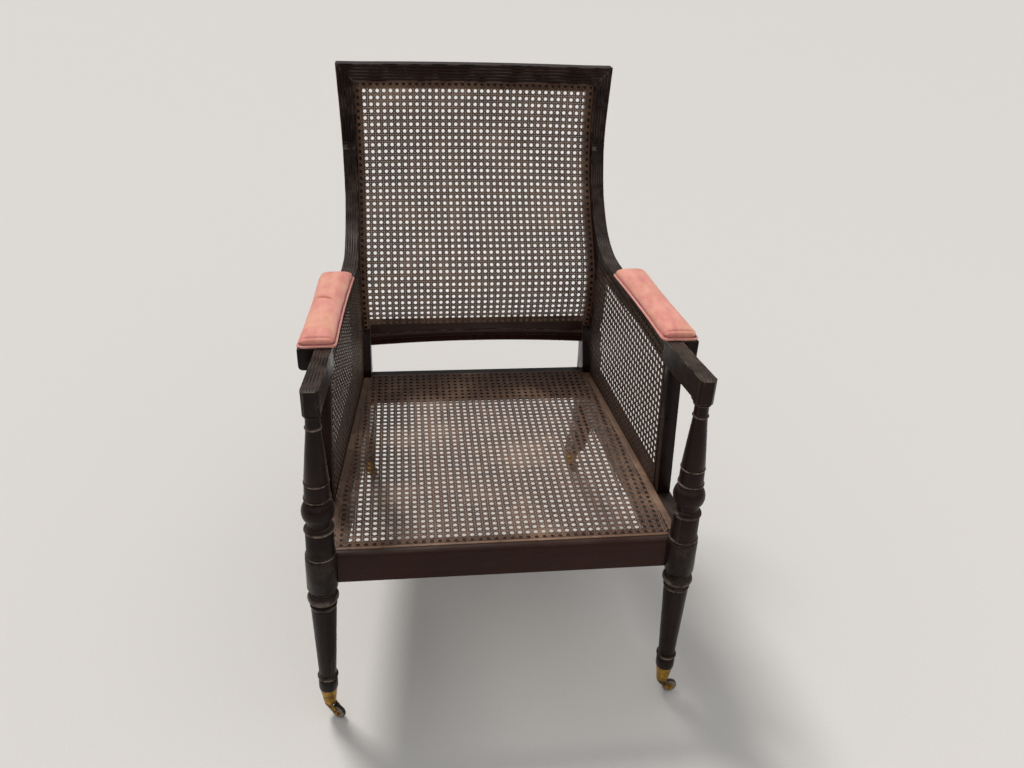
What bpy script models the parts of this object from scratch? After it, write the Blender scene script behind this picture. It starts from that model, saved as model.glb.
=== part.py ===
# Cane back armchair with turned front legs, padded arms and brass castors.
# Metres, +Z up, the sitter faces -Y. The origin is on the floor, in the middle of the chair.
import math

import bmesh
import bpy
from mathutils import Matrix, Vector

# Clearances
FIT = 0.0003              # gap between two pieces that touch
TURN_FIT = 0.0005         # gap round a pin that turns
OVERRUN = 0.004           # how far a cutter reaches past the wood

# Seat frame, distances back are taken from the axis of the front legs
LEG_LINE = -0.3630        # y of the front legs
SEAT_TOP = 0.355          # top of the seat rails
RAIL_DEPTH = 0.057        # height of every seat rail
FRONT_RAIL_BACK = 0.031   # rear face of the front rail
FRONT_RAIL_FACE = 0.001   # front face of the front rail
FRONT_RAIL_ROUND = 0.010  # rounded upper edge of the front rail
SIDE_RAIL_FRONT = 0.013   # front end of the side rails
REAR_RAIL_FACE = 0.526    # front face of the rear rail
REAR_RAIL_BACK = 0.561    # rear face of the rear rail
HOLES_FRONT = 0.020       # front row of cane holes
HOLES_REAR = 0.535        # rear row of cane holes, and front face of the back legs
HALF_HOLES_FRONT = 0.265  # half the width between the side rows, at the front
HALF_HOLES_REAR = 0.219   # the same at the back
HOLE_MARGIN = 0.009       # from a row of holes to the inner edge of its rail
SIDE_RAIL_WIDTH = 0.050
CANE_MARGIN = 0.005       # how far the cane reaches past its holes
SEAT_CANE = 0.0018        # thickness of the seat cane
TENON_HEIGHT = 0.030
TENON_THICK = 0.011
TENON_LENGTH = 0.014
TENON_SET = 0.0143        # from the rear of the lower rail to the middle of its tenon
TENON_SIDES = 12          # sides of a round tenon, an axle and its bore

# Back legs, which run up into the stiles
STILE_IN = 0.2197         # half the width between the stiles
STILE_OUT_LOW = 0.2585    # half the width over the stiles, from the seat to mid height
STILE_OUT_TOP = 0.2670    # the same at the top corners
STILE_TOP = 0.938         # top of the back
STILE_WIDEN_FROM = 0.700  # height where the stiles start to widen
FACE_PROUD = 0.007        # front face of the stile, in front of the cane
BACK_SET = 0.021          # rear face of the stile, behind the cane
REAR_FOOT = 0.6600        # rear castors, behind the front legs
REAR_FOOT_X = 0.2400
REAR_FOOT_SIZE = 0.028
REAR_LEG_SWELL = 0.057    # depth of the back leg where the rails meet it

# Caned back
BACK_NEAR = 0.559         # foremost point of the cane
BACK_SWEEP = 0.160        # how far the cane leans back from there
CANE_BELOW_TOP = 0.038    # from the top of the back to the top row of holes
CANE_TOP = STILE_TOP - CANE_BELOW_TOP
CANE_LOW = 0.4506         # bottom row of holes
HALF_HOLES_BACK = 0.2286  # 18 steps of half an inch
BACK_CANE_MARGIN = 0.0036 # how far the back cane reaches past its outer holes
BAND_IN = 0.2340          # inner edge of the proud face of the stiles
BACK_CANE = 0.0012
BACK_BOW = 0.011          # bow of the top rail
TOP_RAIL_DEPTH = 0.0466
LOW_RAIL_TOP = 0.4595
LOW_RAIL_BOTTOM = 0.4140
LOW_RAIL_FACE = 0.5645    # front face of the lower back rail
LOW_RAIL_BACK = 0.5985
LOW_RAIL_STEP = 0.4415    # lower edge of its caned strip
LOW_RAIL_ARCH = 0.0075
BEAD = 0.0060             # radius of the bead on the lower rail
BEAD_HEIGHT = 0.4340

# Arms
ARM_WIDTH = 0.0250
ARM_DEPTH = 0.0380
ARM_REAR = 0.5150         # where the arm starts to run out from the back
ARM_TIP_X = 0.2770        # middle of the arm at its tip
ARM_TIP = -0.0130         # front of the arm, ahead of the leg's axis
ARM_TIP_TOP = 0.6550
ARM_TIP_DEPTH = 0.0430

# Pads
PAD_FRONT = 0.1320        # front of the pad
PAD_REAR = 0.4290
PAD_IN_FRONT = 0.2490
PAD_IN_REAR = 0.2350
PAD_OUT_FRONT = 0.3090
PAD_OUT_REAR = 0.2975
PAD_DRAW = 0.0020         # how far the pad's sides are drawn in
PAD_CORNER = 0.0100
PIPING = 0.0024           # radius of the piping
PIPING_SIDES = 6
BOARD_DEPTH = 0.0360
BOARD_EASE = 0.0080

# Side posts and side cane
POST_FRONT = 0.1170
POST_BACK = 0.1420
POST_NEAR = 0.2720
POST_OUT = 0.2945
POST_LEAN = 0.0120        # how far the post and the cane behind it lean in at the arm
POST_TENON = 0.0080
SIDE_CANE_IN = 0.2355     # inner face of the side cane where it meets the stile
SIDE_CANE = 0.0016

# Plain grids of openings that stand for the gaps of the cane, counted across and along a panel
BACK_OPENINGS_ACROSS = 10
SEAT_OPENINGS = (10, 10)
SIDE_OPENINGS = (8, 5)
OPENING_SHARE = 0.5       # share of the panel's width and length that is open

# Front legs, heights and radii of the turning
LEG_FOOT_X = 0.2930       # the leg's axis at the floor
LEG_SPLAY = 0.0274        # run of the axis for each metre of height
NECK_TOP = ARM_TIP_TOP - ARM_TIP_DEPTH - FIT
NECK_RADIUS = 0.0105
NECK_RING = 0.5900
NECK_RING_RADIUS = 0.0125
POLE_TOP_RADIUS = 0.0108
POLE_END_RADIUS = 0.0182
UPPER_RING = 0.4970
UPPER_RING_RADIUS = 0.0193
SECOND_RING = 0.4690
SECOND_RING_RADIUS = 0.0207
GROOVE_RADIUS = 0.0168     # bottom of the grooves beside the rings
BULB = 0.4445
BULB_RADIUS = 0.0249
BULB_HALF = 0.0165
BULB_SHARE = 0.38         # how far the bulb curves in, as a share of its radius
THIRD_RING = 0.4110
THIRD_RING_RADIUS = 0.0233
WAIST_RADIUS = 0.0213
THIN_RING = 0.3620
THIN_RING_RADIUS = 0.0236
DRUM_RADIUS = 0.0240
DRUM_END = 0.2930
BIG_RING = 0.2750
BIG_RING_RADIUS = 0.0246
BIG_RING_HALF = 0.0080
UNDER_RING_RADIUS = 0.0214
TAPER_TOP = 0.2480
TAPER_TOP_RADIUS = 0.0200
ANKLE_RADIUS = 0.0142
ANKLE_RING = 0.0970
ANKLE_RING_RADIUS = 0.0172
BARREL_RADIUS = 0.0158
RING_HALF = 0.0032
LEG_SIDES = 16

# Castors
CUP_TOP = 0.0680
CUP_BOTTOM = 0.0340
FOOT_TOP = CUP_TOP + FIT  # shoulder of the wood that stands in the cup
FOOT_END = 0.0430         # end of the wood inside the cup
CUP_TOP_RADIUS = 0.0148
CUP_END_RADIUS = 0.0100
CUP_WALL = 0.0012
CUP_FLOOR = 0.0025
PIN_RADIUS = 0.0024
RIVET_RADIUS = 0.0045
RIVET_HEIGHT = 0.0020
HORN_RADIUS = 0.0092
HORN_THICK = 0.0052
TRAIL = 0.0155            # from the swivel axis to the wheel's axle
WHEEL_RADIUS = 0.0128
WHEEL_WIDTH = 0.0088
CHEEK = 0.0020
CHEEK_GAP = 0.0005
CHEEK_SHARE = 0.64        # how far the cheeks reach along the horn, as a share of its radius
AXLE_RADIUS = 0.0018
AXLE_HEAD = 0.0030
AXLE_HEAD_THICK = 0.0010
HUB_RADIUS = 0.0050
CASTOR_SIDES = 16
# Where each castor trails, in degrees from +X
CASTOR_TURNS = {"front_left": -30.0, "front_right": 0.0, "rear_left": 62.0, "rear_right": 35.0}

# The line of the back cane, from the top row of holes to the bottom one
BACK_SHARES = ((1.000, 1.000), (0.990, 0.820), (0.860, 0.650), (0.590, 0.500),
               (0.250, 0.370), (0.030, 0.260), (0.000, 0.130), (0.105, 0.000))
# The back leg from the lower back rail down to its foot: its front and its rear as shares of its
# depth at the seat, back from the row of holes, and a share of the lower rail's height
LEG_SHARES = ((0.53, 1.10, 1.040), (0.26, 1.05, 0.966), (0.05, 1.00, 0.906), (0.00, 0.98, 0.870),
              (0.00, 0.97, 0.720), (0.06, 1.01, 0.647), (0.25, 1.16, 0.539), (0.57, 1.46, 0.411),
              (1.02, 1.90, 0.295), (1.52, 2.28, 0.217))
# The top of the arm, from the sweep on the stile to the tip: shares of the pad's rear end, back
# from it to the stile, and of the height between the pad and the top row of holes
SWEEP_SHARES = ((1.000, 0.610), (0.985, 0.554), (0.956, 0.498), (0.892, 0.387), (0.810, 0.275),
                (0.700, 0.168), (0.600, 0.096), (0.490, 0.048), (0.350, 0.015), (0.180, 0.000))
SWEEP_REACH = 0.2750      # from the rear of the pad to the top of the sweep
BOW_FROM_SHARE = 0.42     # height of the caned back where it starts to bow, and where it is full
BOW_FULL_SHARE = 0.66
# The pad from the side, as shares of the piping's radius in from its edge and up from the arm
PAD_SHARES = ((2.3, 0.0), (2.25, 1.0), (1.95, 2.0), (1.15, 2.3), (0.75, 3.3), (0.95, 4.7),
              (2.4, 6.3), (5.0, 7.7), (8.0, 8.5))
ARM_PAD_REAR_TOP = 0.6240
ARM_PAD_FRONT_TOP = 0.6405


def clear_scene():
    for thing in list(bpy.data.objects):
        bpy.data.objects.remove(thing, do_unlink=True)


def finish(name, colour, roughness, metallic=0.0):
    made = bpy.data.materials.new(name)
    made.use_nodes = True
    shader = made.node_tree.nodes["Principled BSDF"]
    shader.inputs["Base Color"].default_value = (*colour, 1.0)
    shader.inputs["Roughness"].default_value = roughness
    shader.inputs["Metallic"].default_value = metallic
    made.diffuse_color = (*colour, 1.0)
    return made


def place(name, shape, material, smooth=None):
    """Turns a bmesh into an object of the scene."""
    bmesh.ops.recalc_face_normals(shape, faces=shape.faces)
    mesh = bpy.data.meshes.new(name)
    shape.to_mesh(mesh)
    shape.free()
    if smooth is not None:
        mesh.shade_smooth()
        mesh.set_sharp_from_angle(angle=math.radians(smooth))
    thing = bpy.data.objects.new(name, mesh)
    thing.data.materials.append(material.copy())
    thing.data.materials[0].name = name
    bpy.context.scene.collection.objects.link(thing)
    return thing


def cutter(name, shape):
    """An object that only cuts others."""
    thing = place(name, shape, bpy.data.materials["guide"])
    thing.hide_render = True
    thing.display_type = "WIRE"
    return thing


def combine(thing, other, operation):
    step = thing.modifiers.new(operation.lower(), "BOOLEAN")
    step.operation = operation
    step.object = other
    step.solver = "EXACT"


def cut(thing, other):
    combine(thing, other, "DIFFERENCE")


def join(thing, other):
    combine(thing, other, "UNION")


def box(low, high):
    shape = bmesh.new()
    bmesh.ops.create_cube(shape, size=1.0)
    for vert in shape.verts:
        for axis in range(3):
            vert.co[axis] = high[axis] if vert.co[axis] > 0 else low[axis]
    return shape


def mirrored(side, x):
    return x if side == "right" else -x


def x_range(side, near, far):
    """The low and high x of a span that runs outwards on one side of the chair."""
    return sorted((mirrored(side, near), mirrored(side, far)))


def grown_box(low, high, by):
    return box([v - by for v in low], [v + by for v in high])


def skin(rings, closed=False):
    """Faces between rings of points, with a face on either end unless the rings close on themselves."""
    shape = bmesh.new()
    loops = [[shape.verts.new(point) for point in ring] for ring in rings]
    if not closed:
        shape.faces.new(loops[0])
        shape.faces.new(loops[-1])
    for k, loop in enumerate(loops if closed else loops[:-1]):
        after = loops[(k + 1) % len(loops)]
        for j in range(len(loop)):
            shape.faces.new((loop[j - 1], loop[j], after[j], after[j - 1]))
    shape.normal_update()
    return shape


def prism(outline, stations, shift):
    """Runs an outline through the stations and lets shift place each point."""
    return skin([[shift(station, k, point) for k, point in enumerate(outline)] for station in stations])


def smooth_line(points, steps):
    """A smooth curve through the points, with the given number of steps between two of them."""
    ends = [points[0]] + list(points) + [points[-1]]
    line = []
    for k in range(1, len(ends) - 2):
        a, b, c, d = (Vector(p) for p in ends[k - 1:k + 3])
        for j in range(steps):
            t = j / steps
            line.append(0.5 * ((2 * b) + (c - a) * t + (2 * a - 5 * b + 4 * c - d) * t ** 2
                               + (3 * b - a - 3 * c + d) * t ** 3))
    line.append(Vector(points[-1]))
    return line


def offset_line(line, distance):
    """The line moved sideways, with a positive distance to the rear."""
    moved = []
    for k, point in enumerate(line):
        run = line[min(k + 1, len(line) - 1)] - line[max(k - 1, 0)]
        run.normalize()
        moved.append(point + Vector((-run.y, run.x)) * distance)
    return moved


def height_at(line, y):
    """Height of a line of (y, z) points, followed along y."""
    for a, b in zip(line, line[1:]):
        if min(a.x, b.x) <= y <= max(a.x, b.x) and a.x != b.x:
            return a.y + (b.y - a.y) * (y - a.x) / (b.x - a.x)
    return line[0].y if abs(line[0].x - y) < abs(line[-1].x - y) else line[-1].y


def depth_at(line, z):
    """The y of a line of (y, z) points at a height, run on at its ends."""
    for a, b in zip(line, line[1:]):
        if b.y <= z:
            break
    return a.x + (b.x - a.x) * (a.y - z) / (a.y - b.y)


def back_line():
    """The caned plane from the side, as (y, z) points from the top row of holes down."""
    points = [(LEG_LINE + BACK_NEAR + BACK_SWEEP * depth, CANE_LOW + (CANE_TOP - CANE_LOW) * height)
              for depth, height in BACK_SHARES]
    return smooth_line(points, 3)


def extended_back_line():
    """The same line, run on to the top of the back."""
    line = back_line()
    run = line[0] - line[1]
    top = line[0] + run * ((STILE_TOP - line[0].y) / run.y)
    return [top] + line


def stile_lines():
    """The front, the caned step and the rear of the stile from the top to the foot, as (y, z) points."""
    caned = extended_back_line()
    caned.append(Vector((depth_at(caned, LOW_RAIL_STEP), LOW_RAIL_STEP)))
    front, step, rear = (offset_line(caned, by) for by in (-FACE_PROUD, BACK_CANE / 2 + FIT, BACK_SET))
    for number, line in ((0, front), (1, rear)):
        line += smooth_line([(LEG_LINE + HOLES_REAR + REAR_LEG_SWELL * shares[number],
                              LOW_RAIL_BOTTOM * shares[2]) for shares in LEG_SHARES], 2)
    front.append(Vector((LEG_LINE + REAR_FOOT - REAR_FOOT_SIZE / 2, FOOT_TOP)))
    rear.append(Vector((LEG_LINE + REAR_FOOT + REAR_FOOT_SIZE / 2, FOOT_TOP)))
    return front, step + front[len(step):], rear


def stile_face():
    """The foremost point of the back legs, where the side rails meet them."""
    return min(point.x for point in stile_lines()[0])


def stile_outer(z):
    """Half the width over the stiles at a height."""
    if z > STILE_WIDEN_FROM:
        share = (z - STILE_WIDEN_FROM) / (STILE_TOP - STILE_WIDEN_FROM)
        return STILE_OUT_LOW + (STILE_OUT_TOP - STILE_OUT_LOW) * share
    low = SEAT_TOP - RAIL_DEPTH
    if z < low:
        share = (low - z) / (low - FOOT_TOP)
        return STILE_OUT_LOW + (REAR_FOOT_X + REAR_FOOT_SIZE / 2 - STILE_OUT_LOW) * share
    return STILE_OUT_LOW


def stile_inner(z):
    low = SEAT_TOP - RAIL_DEPTH
    if z < low:
        share = (low - z) / (low - FOOT_TOP)
        return STILE_IN + (REAR_FOOT_X - REAR_FOOT_SIZE / 2 - STILE_IN) * share
    return STILE_IN


def seat_splay():
    return (HALF_HOLES_FRONT - HALF_HOLES_REAR) / (HOLES_REAR - HOLES_FRONT)


def splayed(half_at_rear, y):
    """A line that runs along the seat's side, at its distance from the middle."""
    return half_at_rear + seat_splay() * (LEG_LINE + HOLES_REAR - y)


def rail_inner(y):
    return splayed(HALF_HOLES_REAR - HOLE_MARGIN, y)


def rail_outer(y):
    return splayed(HALF_HOLES_REAR - HOLE_MARGIN + SIDE_RAIL_WIDTH, y)


def leg_axis(z):
    """The axis of a front leg, upright in the castor's cup and leaning in above it."""
    return LEG_FOOT_X - LEG_SPLAY * max(z, CUP_TOP)


def arm_outer(y, z):
    """The arm's outer face, flush with the stile at the sweep and running out towards the tip."""
    share = (LEG_LINE + ARM_REAR - y) / (ARM_REAR - ARM_TIP)
    tip = ARM_TIP_X + ARM_WIDTH / 2
    return stile_outer(z) + (tip - STILE_OUT_LOW) * max(0, share)


def arm_inner(y, z):
    return arm_outer(y, z) - ARM_WIDTH


def plan_prism(side, outline, low, high):
    """A plan outline in (x, y), extruded from one height to another."""
    return prism(outline, (low, high), lambda z, k, p: (mirrored(side, p[0]), p[1], z))


def side_prism(side, outline, near, far):
    """A side outline in (y, z), extruded outwards, near and far being widths at (y, z)."""
    shape = prism(outline, (near, far), lambda width, k, p: (mirrored(side, width(*p)), *p))
    bmesh.ops.triangulate(shape, faces=[face for face in shape.faces if len(face.verts) > 4])
    return shape


def spun(profile, sides):
    """A turned solid from (radius, height) points, its ends on the axis."""
    shape = bmesh.new()
    points = [(0, profile[0][1])] + list(profile) + [(0, profile[-1][1])]
    verts = [shape.verts.new((radius, 0, height)) for radius, height in points]
    edges = [shape.edges.new(pair) for pair in zip(verts, verts[1:])]
    bmesh.ops.spin(shape, geom=verts + edges, cent=(0, 0, 0), axis=(0, 0, 1),
                   angle=math.tau, steps=sides, use_merge=True)
    bmesh.ops.remove_doubles(shape, verts=shape.verts, dist=FIT / 10)
    return shape


def swelling(radius, depth, height, half, steps=2, reach=90):
    """A round moulding on a turned piece, which curves in by its depth at a reach of 90 degrees."""
    turns = [math.radians(reach * k / steps) for k in range(-steps, steps + 1)]
    return [(radius - depth * (1 - math.cos(turn)), height - half * math.sin(turn)) for turn in turns]


def bead(radius, height, half):
    return swelling(radius, half, height, half)


def turned_leg_profile():
    """The front leg from its neck down to its end in the cup."""
    thin = RING_HALF / 2
    points = [(NECK_RADIUS + RING_HALF, NECK_TOP), (NECK_RADIUS, NECK_TOP - RING_HALF)]
    points += bead(NECK_RING_RADIUS, NECK_RING, thin)
    points += [(POLE_TOP_RADIUS, NECK_RING - RING_HALF), (POLE_END_RADIUS, UPPER_RING + RING_HALF)]
    points += bead(UPPER_RING_RADIUS, UPPER_RING, thin)
    points += [(SECOND_RING_RADIUS - thin, SECOND_RING + RING_HALF)]
    points += bead(SECOND_RING_RADIUS, SECOND_RING, thin)
    points += [(GROOVE_RADIUS, BULB + BULB_HALF + thin)]
    points += swelling(BULB_RADIUS, BULB_RADIUS * BULB_SHARE, BULB, BULB_HALF, 4, 72)
    points += [(GROOVE_RADIUS, THIRD_RING + 2 * RING_HALF)]
    points += bead(THIRD_RING_RADIUS, THIRD_RING, RING_HALF)
    points += [(WAIST_RADIUS, THIRD_RING - 2 * RING_HALF), (WAIST_RADIUS, THIN_RING + RING_HALF)]
    points += bead(THIN_RING_RADIUS, THIN_RING, thin)
    points += [(DRUM_RADIUS, SEAT_TOP), (DRUM_RADIUS, DRUM_END),
               (GROOVE_RADIUS, BIG_RING + BIG_RING_HALF + RING_HALF)]
    points += swelling(BIG_RING_RADIUS, BIG_RING_HALF, BIG_RING, BIG_RING_HALF, 3, 75)
    points += bead(UNDER_RING_RADIUS, BIG_RING - 2 * BIG_RING_HALF, RING_HALF)
    points += [(TAPER_TOP_RADIUS, TAPER_TOP), (ANKLE_RADIUS, ANKLE_RING + 2 * RING_HALF)]
    points += bead(ANKLE_RING_RADIUS, ANKLE_RING, RING_HALF)
    points += [(BARREL_RADIUS, ANKLE_RING - 2 * RING_HALF), (BARREL_RADIUS, FOOT_TOP)]
    inner_wall = CUP_WALL + FIT
    points += [(cup_radius(CUP_TOP) - inner_wall, FOOT_TOP), (cup_radius(FOOT_END) - inner_wall, FOOT_END)]
    return points


def cup_radius(z):
    share = (z - CUP_BOTTOM) / (CUP_TOP - CUP_BOTTOM)
    return CUP_END_RADIUS + (CUP_TOP_RADIUS - CUP_END_RADIUS) * share


def on_leg(side, shape):
    """Moves a shape that was turned on the Z axis onto the axis of a front leg."""
    for vert in shape.verts:
        vert.co += Vector((mirrored(side, leg_axis(vert.co.z)), LEG_LINE, 0))
    return shape


def tenon_heights():
    middle = SEAT_TOP - RAIL_DEPTH / 2
    return middle - TENON_HEIGHT / 2, middle + TENON_HEIGHT / 2


def front_tenon(side):
    """The front rail's tenon in the leg, low and high corner."""
    low_z, high_z = tenon_heights()
    inner = leg_axis(high_z) - DRUM_RADIUS
    x = x_range(side, inner - TENON_LENGTH / 2, inner + TENON_LENGTH)
    y = LEG_LINE + TENON_THICK / 3
    return (x[0], y, low_z), (x[1], LEG_LINE + SIDE_RAIL_FRONT - TENON_THICK / 4, high_z)


def side_tenon_front(side):
    """The side rail's tenon in the front leg."""
    low_z, high_z = tenon_heights()
    middle = leg_axis(high_z)
    x = x_range(side, middle - TENON_THICK / 2, middle + TENON_THICK / 2)
    y = LEG_LINE + DRUM_RADIUS
    return (x[0], y - TENON_LENGTH, low_z), (x[1], y + TENON_LENGTH / 2, high_z)


def side_tenon_rear(side):
    """The side rail's tenon in the back leg."""
    low_z, high_z = tenon_heights()
    x = x_range(side, STILE_OUT_LOW - 2 * TENON_THICK, STILE_OUT_LOW - TENON_THICK)
    y = LEG_LINE + HOLES_REAR
    return (x[0], y - TENON_LENGTH / 2, low_z), (x[1], y + TENON_LENGTH, high_z)


def rear_tenon(side):
    """The rear rail's tenon in the back leg."""
    low_z, high_z = tenon_heights()
    x = x_range(side, STILE_IN - TENON_LENGTH, STILE_IN + TENON_LENGTH)
    y = LEG_LINE + REAR_RAIL_BACK - TENON_THICK / 2
    return (x[0], y - TENON_THICK, low_z), (x[1], y, high_z)


def low_rail_tenon(side):
    """The lower back rail's tenon in the stile."""
    x = x_range(side, STILE_IN - TENON_LENGTH, STILE_IN + TENON_LENGTH)
    y = LEG_LINE + LOW_RAIL_BACK - TENON_SET
    z = (LOW_RAIL_TOP + LOW_RAIL_BOTTOM) / 2
    return ((x[0], y - TENON_THICK / 2, z - TENON_THICK), (x[1], y + TENON_THICK / 2, z + TENON_THICK))


def top_rail_tenon(side):
    """The top rail's tenon in the stile, across the mitre."""
    x = x_range(side, STILE_IN, STILE_OUT_TOP - TENON_THICK)
    y = extended_back_line()[0].x + (BACK_SET - FACE_PROUD) / 2
    z = STILE_TOP - top_band()
    return ((x[0], y - TENON_THICK / 2, z - TENON_THICK), (x[1], y + TENON_THICK / 2, z + TENON_THICK / 3))


def post_tenon(side, end):
    """The side post's tenon at its foot or its head."""
    middle = (POST_FRONT + POST_BACK) / 2 + LEG_LINE
    level = SEAT_TOP if end == "foot" else arm_under(middle)
    near = POST_NEAR - lean_at(middle, level)
    x = x_range(side, near + POST_TENON / 4, near + POST_TENON)
    return ((x[0], middle - POST_TENON / 2, level - TENON_LENGTH),
            (x[1], middle + POST_TENON / 2, level + TENON_LENGTH))


def neck_tenon(side, gap):
    """The round tenon of the front leg in the arm, on the leg's own axis."""
    radius = NECK_RADIUS - RING_HALF
    shape = spun([(radius + gap, NECK_TOP + TENON_LENGTH + gap), (radius + gap, NECK_TOP - OVERRUN)], TENON_SIDES)
    return on_leg(side, shape)


def top_band():
    """Height of the proud face of the top rail, whose mitre meets the inner edge of the stiles' own."""
    return (STILE_OUT_TOP - BAND_IN) * TOP_RAIL_DEPTH / (STILE_OUT_TOP - STILE_IN)


def mitre(side, above):
    """What the mitre takes off: all above its line on the stile, all below it on the top rail."""
    run = STILE_OUT_TOP - STILE_IN
    gap = -FIT if above else FIT
    low = (STILE_IN - run, STILE_TOP - 2 * TOP_RAIL_DEPTH + gap)
    high = (STILE_OUT_TOP + run, STILE_TOP + TOP_RAIL_DEPTH + gap)
    outline = [low, high, (low[0], high[1]) if above else (high[0], low[1])]
    stations = (LEG_LINE + BACK_NEAR, LEG_LINE + BACK_NEAR + 2 * BACK_SWEEP)
    return prism(outline, stations, lambda y, k, p: (mirrored(side, p[0]), y, p[1]))


def stile(side, wood):
    rings = []
    for front, step, rear in zip(*stile_lines()):
        ring = [(stile_inner(step.y), step), (BAND_IN, step), (BAND_IN, front),
                (stile_outer(front.y), front), (stile_outer(rear.y), rear), (stile_inner(rear.y), rear)]
        rings.append([(mirrored(side, x), *point) for x, point in ring])
    shape = skin(rings)
    bmesh.ops.remove_doubles(shape, verts=shape.verts, dist=FIT / 10)
    thing = place(f"back_stile_{side}", shape, wood, 30)
    cut(thing, cutter(f"cut_mitre_{side}", mitre(side, True)))
    for label, ends in (("rear", rear_tenon(side)), ("side", side_tenon_rear(side)),
                        ("low", low_rail_tenon(side)), ("top", top_rail_tenon(side))):
        cut(thing, cutter(f"cut_{label}_mortise_{side}", grown_box(*ends, FIT)))
    foot = REAR_FOOT_SIZE / 2 - CUP_WALL - 2 * FIT
    end = foot * cup_radius(FOOT_END) / CUP_TOP_RADIUS
    middle = LEG_LINE + REAR_FOOT
    spigot = [(middle - foot, FOOT_TOP + RING_HALF), (middle + foot, FOOT_TOP + RING_HALF),
              (middle + end, FOOT_END), (middle - end, FOOT_END)]
    reach = {True: foot, False: end}
    shape = side_prism(side, spigot, lambda y, z: REAR_FOOT_X - reach[z > FOOT_TOP],
                       lambda y, z: REAR_FOOT_X + reach[z > FOOT_TOP])
    join(thing, cutter(f"add_foot_{side}", shape))
    return thing


def bow_at(x):
    """How far the top rail bows to the rear."""
    share = min(1.0, abs(x) / STILE_IN)
    return 1 - share ** 2


def across_stations(count, edge):
    """Places across the back, with one at the inner edge of each stile."""
    inner = [STILE_IN * (2 * k / count - 1) for k in range(count + 1)]
    return [-edge] + inner + [edge]


def top_rail(wood):
    line = extended_back_line()
    lean = (line[0] - line[1]).normalized()
    front = -FACE_PROUD
    strip = BACK_CANE / 2 + FIT
    outline = []
    for back, drop in ((front, 0), (front, top_band()), (strip, top_band()),
                       (strip, TOP_RAIL_DEPTH), (BACK_SET, TOP_RAIL_DEPTH), (BACK_SET, 0)):
        outline.append((line[0].x - lean.x / lean.y * drop + back, STILE_TOP - drop))
    stations = across_stations(12, STILE_OUT_TOP + OVERRUN)
    shape = prism(outline, stations, lambda x, k, p: (x, p[0] + BACK_BOW * bow_at(x), p[1]))
    thing = place("top_rail", shape, wood, 30)
    for side in ("left", "right"):
        cut(thing, cutter(f"cut_rail_mitre_{side}", mitre(side, False)))
        join(thing, cutter(f"add_top_tenon_{side}", box(*top_rail_tenon(side))))
    return thing


def lower_back_rail(wood):
    face = LEG_LINE + LOW_RAIL_FACE
    back = LEG_LINE + LOW_RAIL_BACK
    line = offset_line(extended_back_line(), BACK_CANE / 2 + FIT)
    outline = [(depth_at(line, level), level) for level in (LOW_RAIL_TOP, LOW_RAIL_STEP)]
    outline.append((face, LOW_RAIL_STEP))
    for k in range(-2, 3):
        angle = math.radians(k * 45)
        outline.append((face - BEAD * math.cos(angle), BEAD_HEIGHT - BEAD * math.sin(angle)))
    outline += [(face, LOW_RAIL_BOTTOM), (back, LOW_RAIL_BOTTOM), (back, LOW_RAIL_TOP)]
    count = 12
    edge = STILE_IN - FIT
    stations = [edge * (2 * k / count - 1) for k in range(count + 1)]
    shape = prism(outline, stations,
                  lambda x, k, p: (x, p[0], p[1] + (0 if k < 2 else LOW_RAIL_ARCH * bow_at(x))))
    thing = place("lower_back_rail", shape, wood, 30)
    for side in ("left", "right"):
        join(thing, cutter(f"add_low_tenon_{side}", box(*low_rail_tenon(side))))
    return thing


def openings(label, counts, at):
    """One cutter for a grid of openings; at places a corner by its shares of the panel and its side."""
    shape = bmesh.new()
    across, along = counts
    for i in range(across):
        for j in range(along):
            for vert in bmesh.ops.create_cube(shape, size=2)["verts"]:
                u = (i + (1 + OPENING_SHARE * vert.co.x) / 2) / across
                v = (j + (1 + OPENING_SHARE * vert.co.y) / 2) / along
                vert.co = at(u, v, vert.co.z)
    return cutter(label, shape)


def opening_edges(count, low, high):
    """Places where a row of openings starts and ends."""
    shares = [(k + (1 + way * OPENING_SHARE) / 2) / count for k in range(count) for way in (-1, 1)]
    return [low + (high - low) * share for share in shares]


def in_opening(value, edges):
    return sum(edge < value for edge in edges) % 2 == 1


def back_cane(cane):
    """The bowed caned back: every second stretch of its line has a row of openings."""
    line = back_line()
    end = line[-1] + (line[-1] - line[-2]).normalized() * CANE_MARGIN
    start = line[0] + (line[0] - line[1]).normalized() * CANE_MARGIN
    line = [start] + line[:-1] + [end]
    edge = HALF_HOLES_BACK + BACK_CANE_MARGIN
    stations = [-edge, -STILE_IN] + opening_edges(BACK_OPENINGS_ACROSS, -STILE_IN, STILE_IN) + [STILE_IN, edge]
    shape = bmesh.new()
    rows = []
    for point in line:
        share = (point.y - CANE_LOW) / (CANE_TOP - CANE_LOW)
        fade = min(1, max(0, (share - BOW_FROM_SHARE) / (BOW_FULL_SHARE - BOW_FROM_SHARE)))
        bow = BACK_BOW * fade ** 2 * (3 - 2 * fade)
        rows.append([shape.verts.new((x, point.x + bow * bow_at(x), point.y)) for x in stations])
    for number, (upper, lower) in enumerate(zip(rows, rows[1:])):
        for k in range(len(stations) - 1):
            solid_row = number % 2 == 0 or number == len(rows) - 2
            if solid_row or k % 2 == 0:
                shape.faces.new((upper[k], lower[k], lower[k + 1], upper[k + 1]))
    thing = place("back_cane", shape, cane, 60)
    wall = thing.modifiers.new("wall", "SOLIDIFY")
    wall.thickness = BACK_CANE
    wall.offset = 0
    return thing


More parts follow.
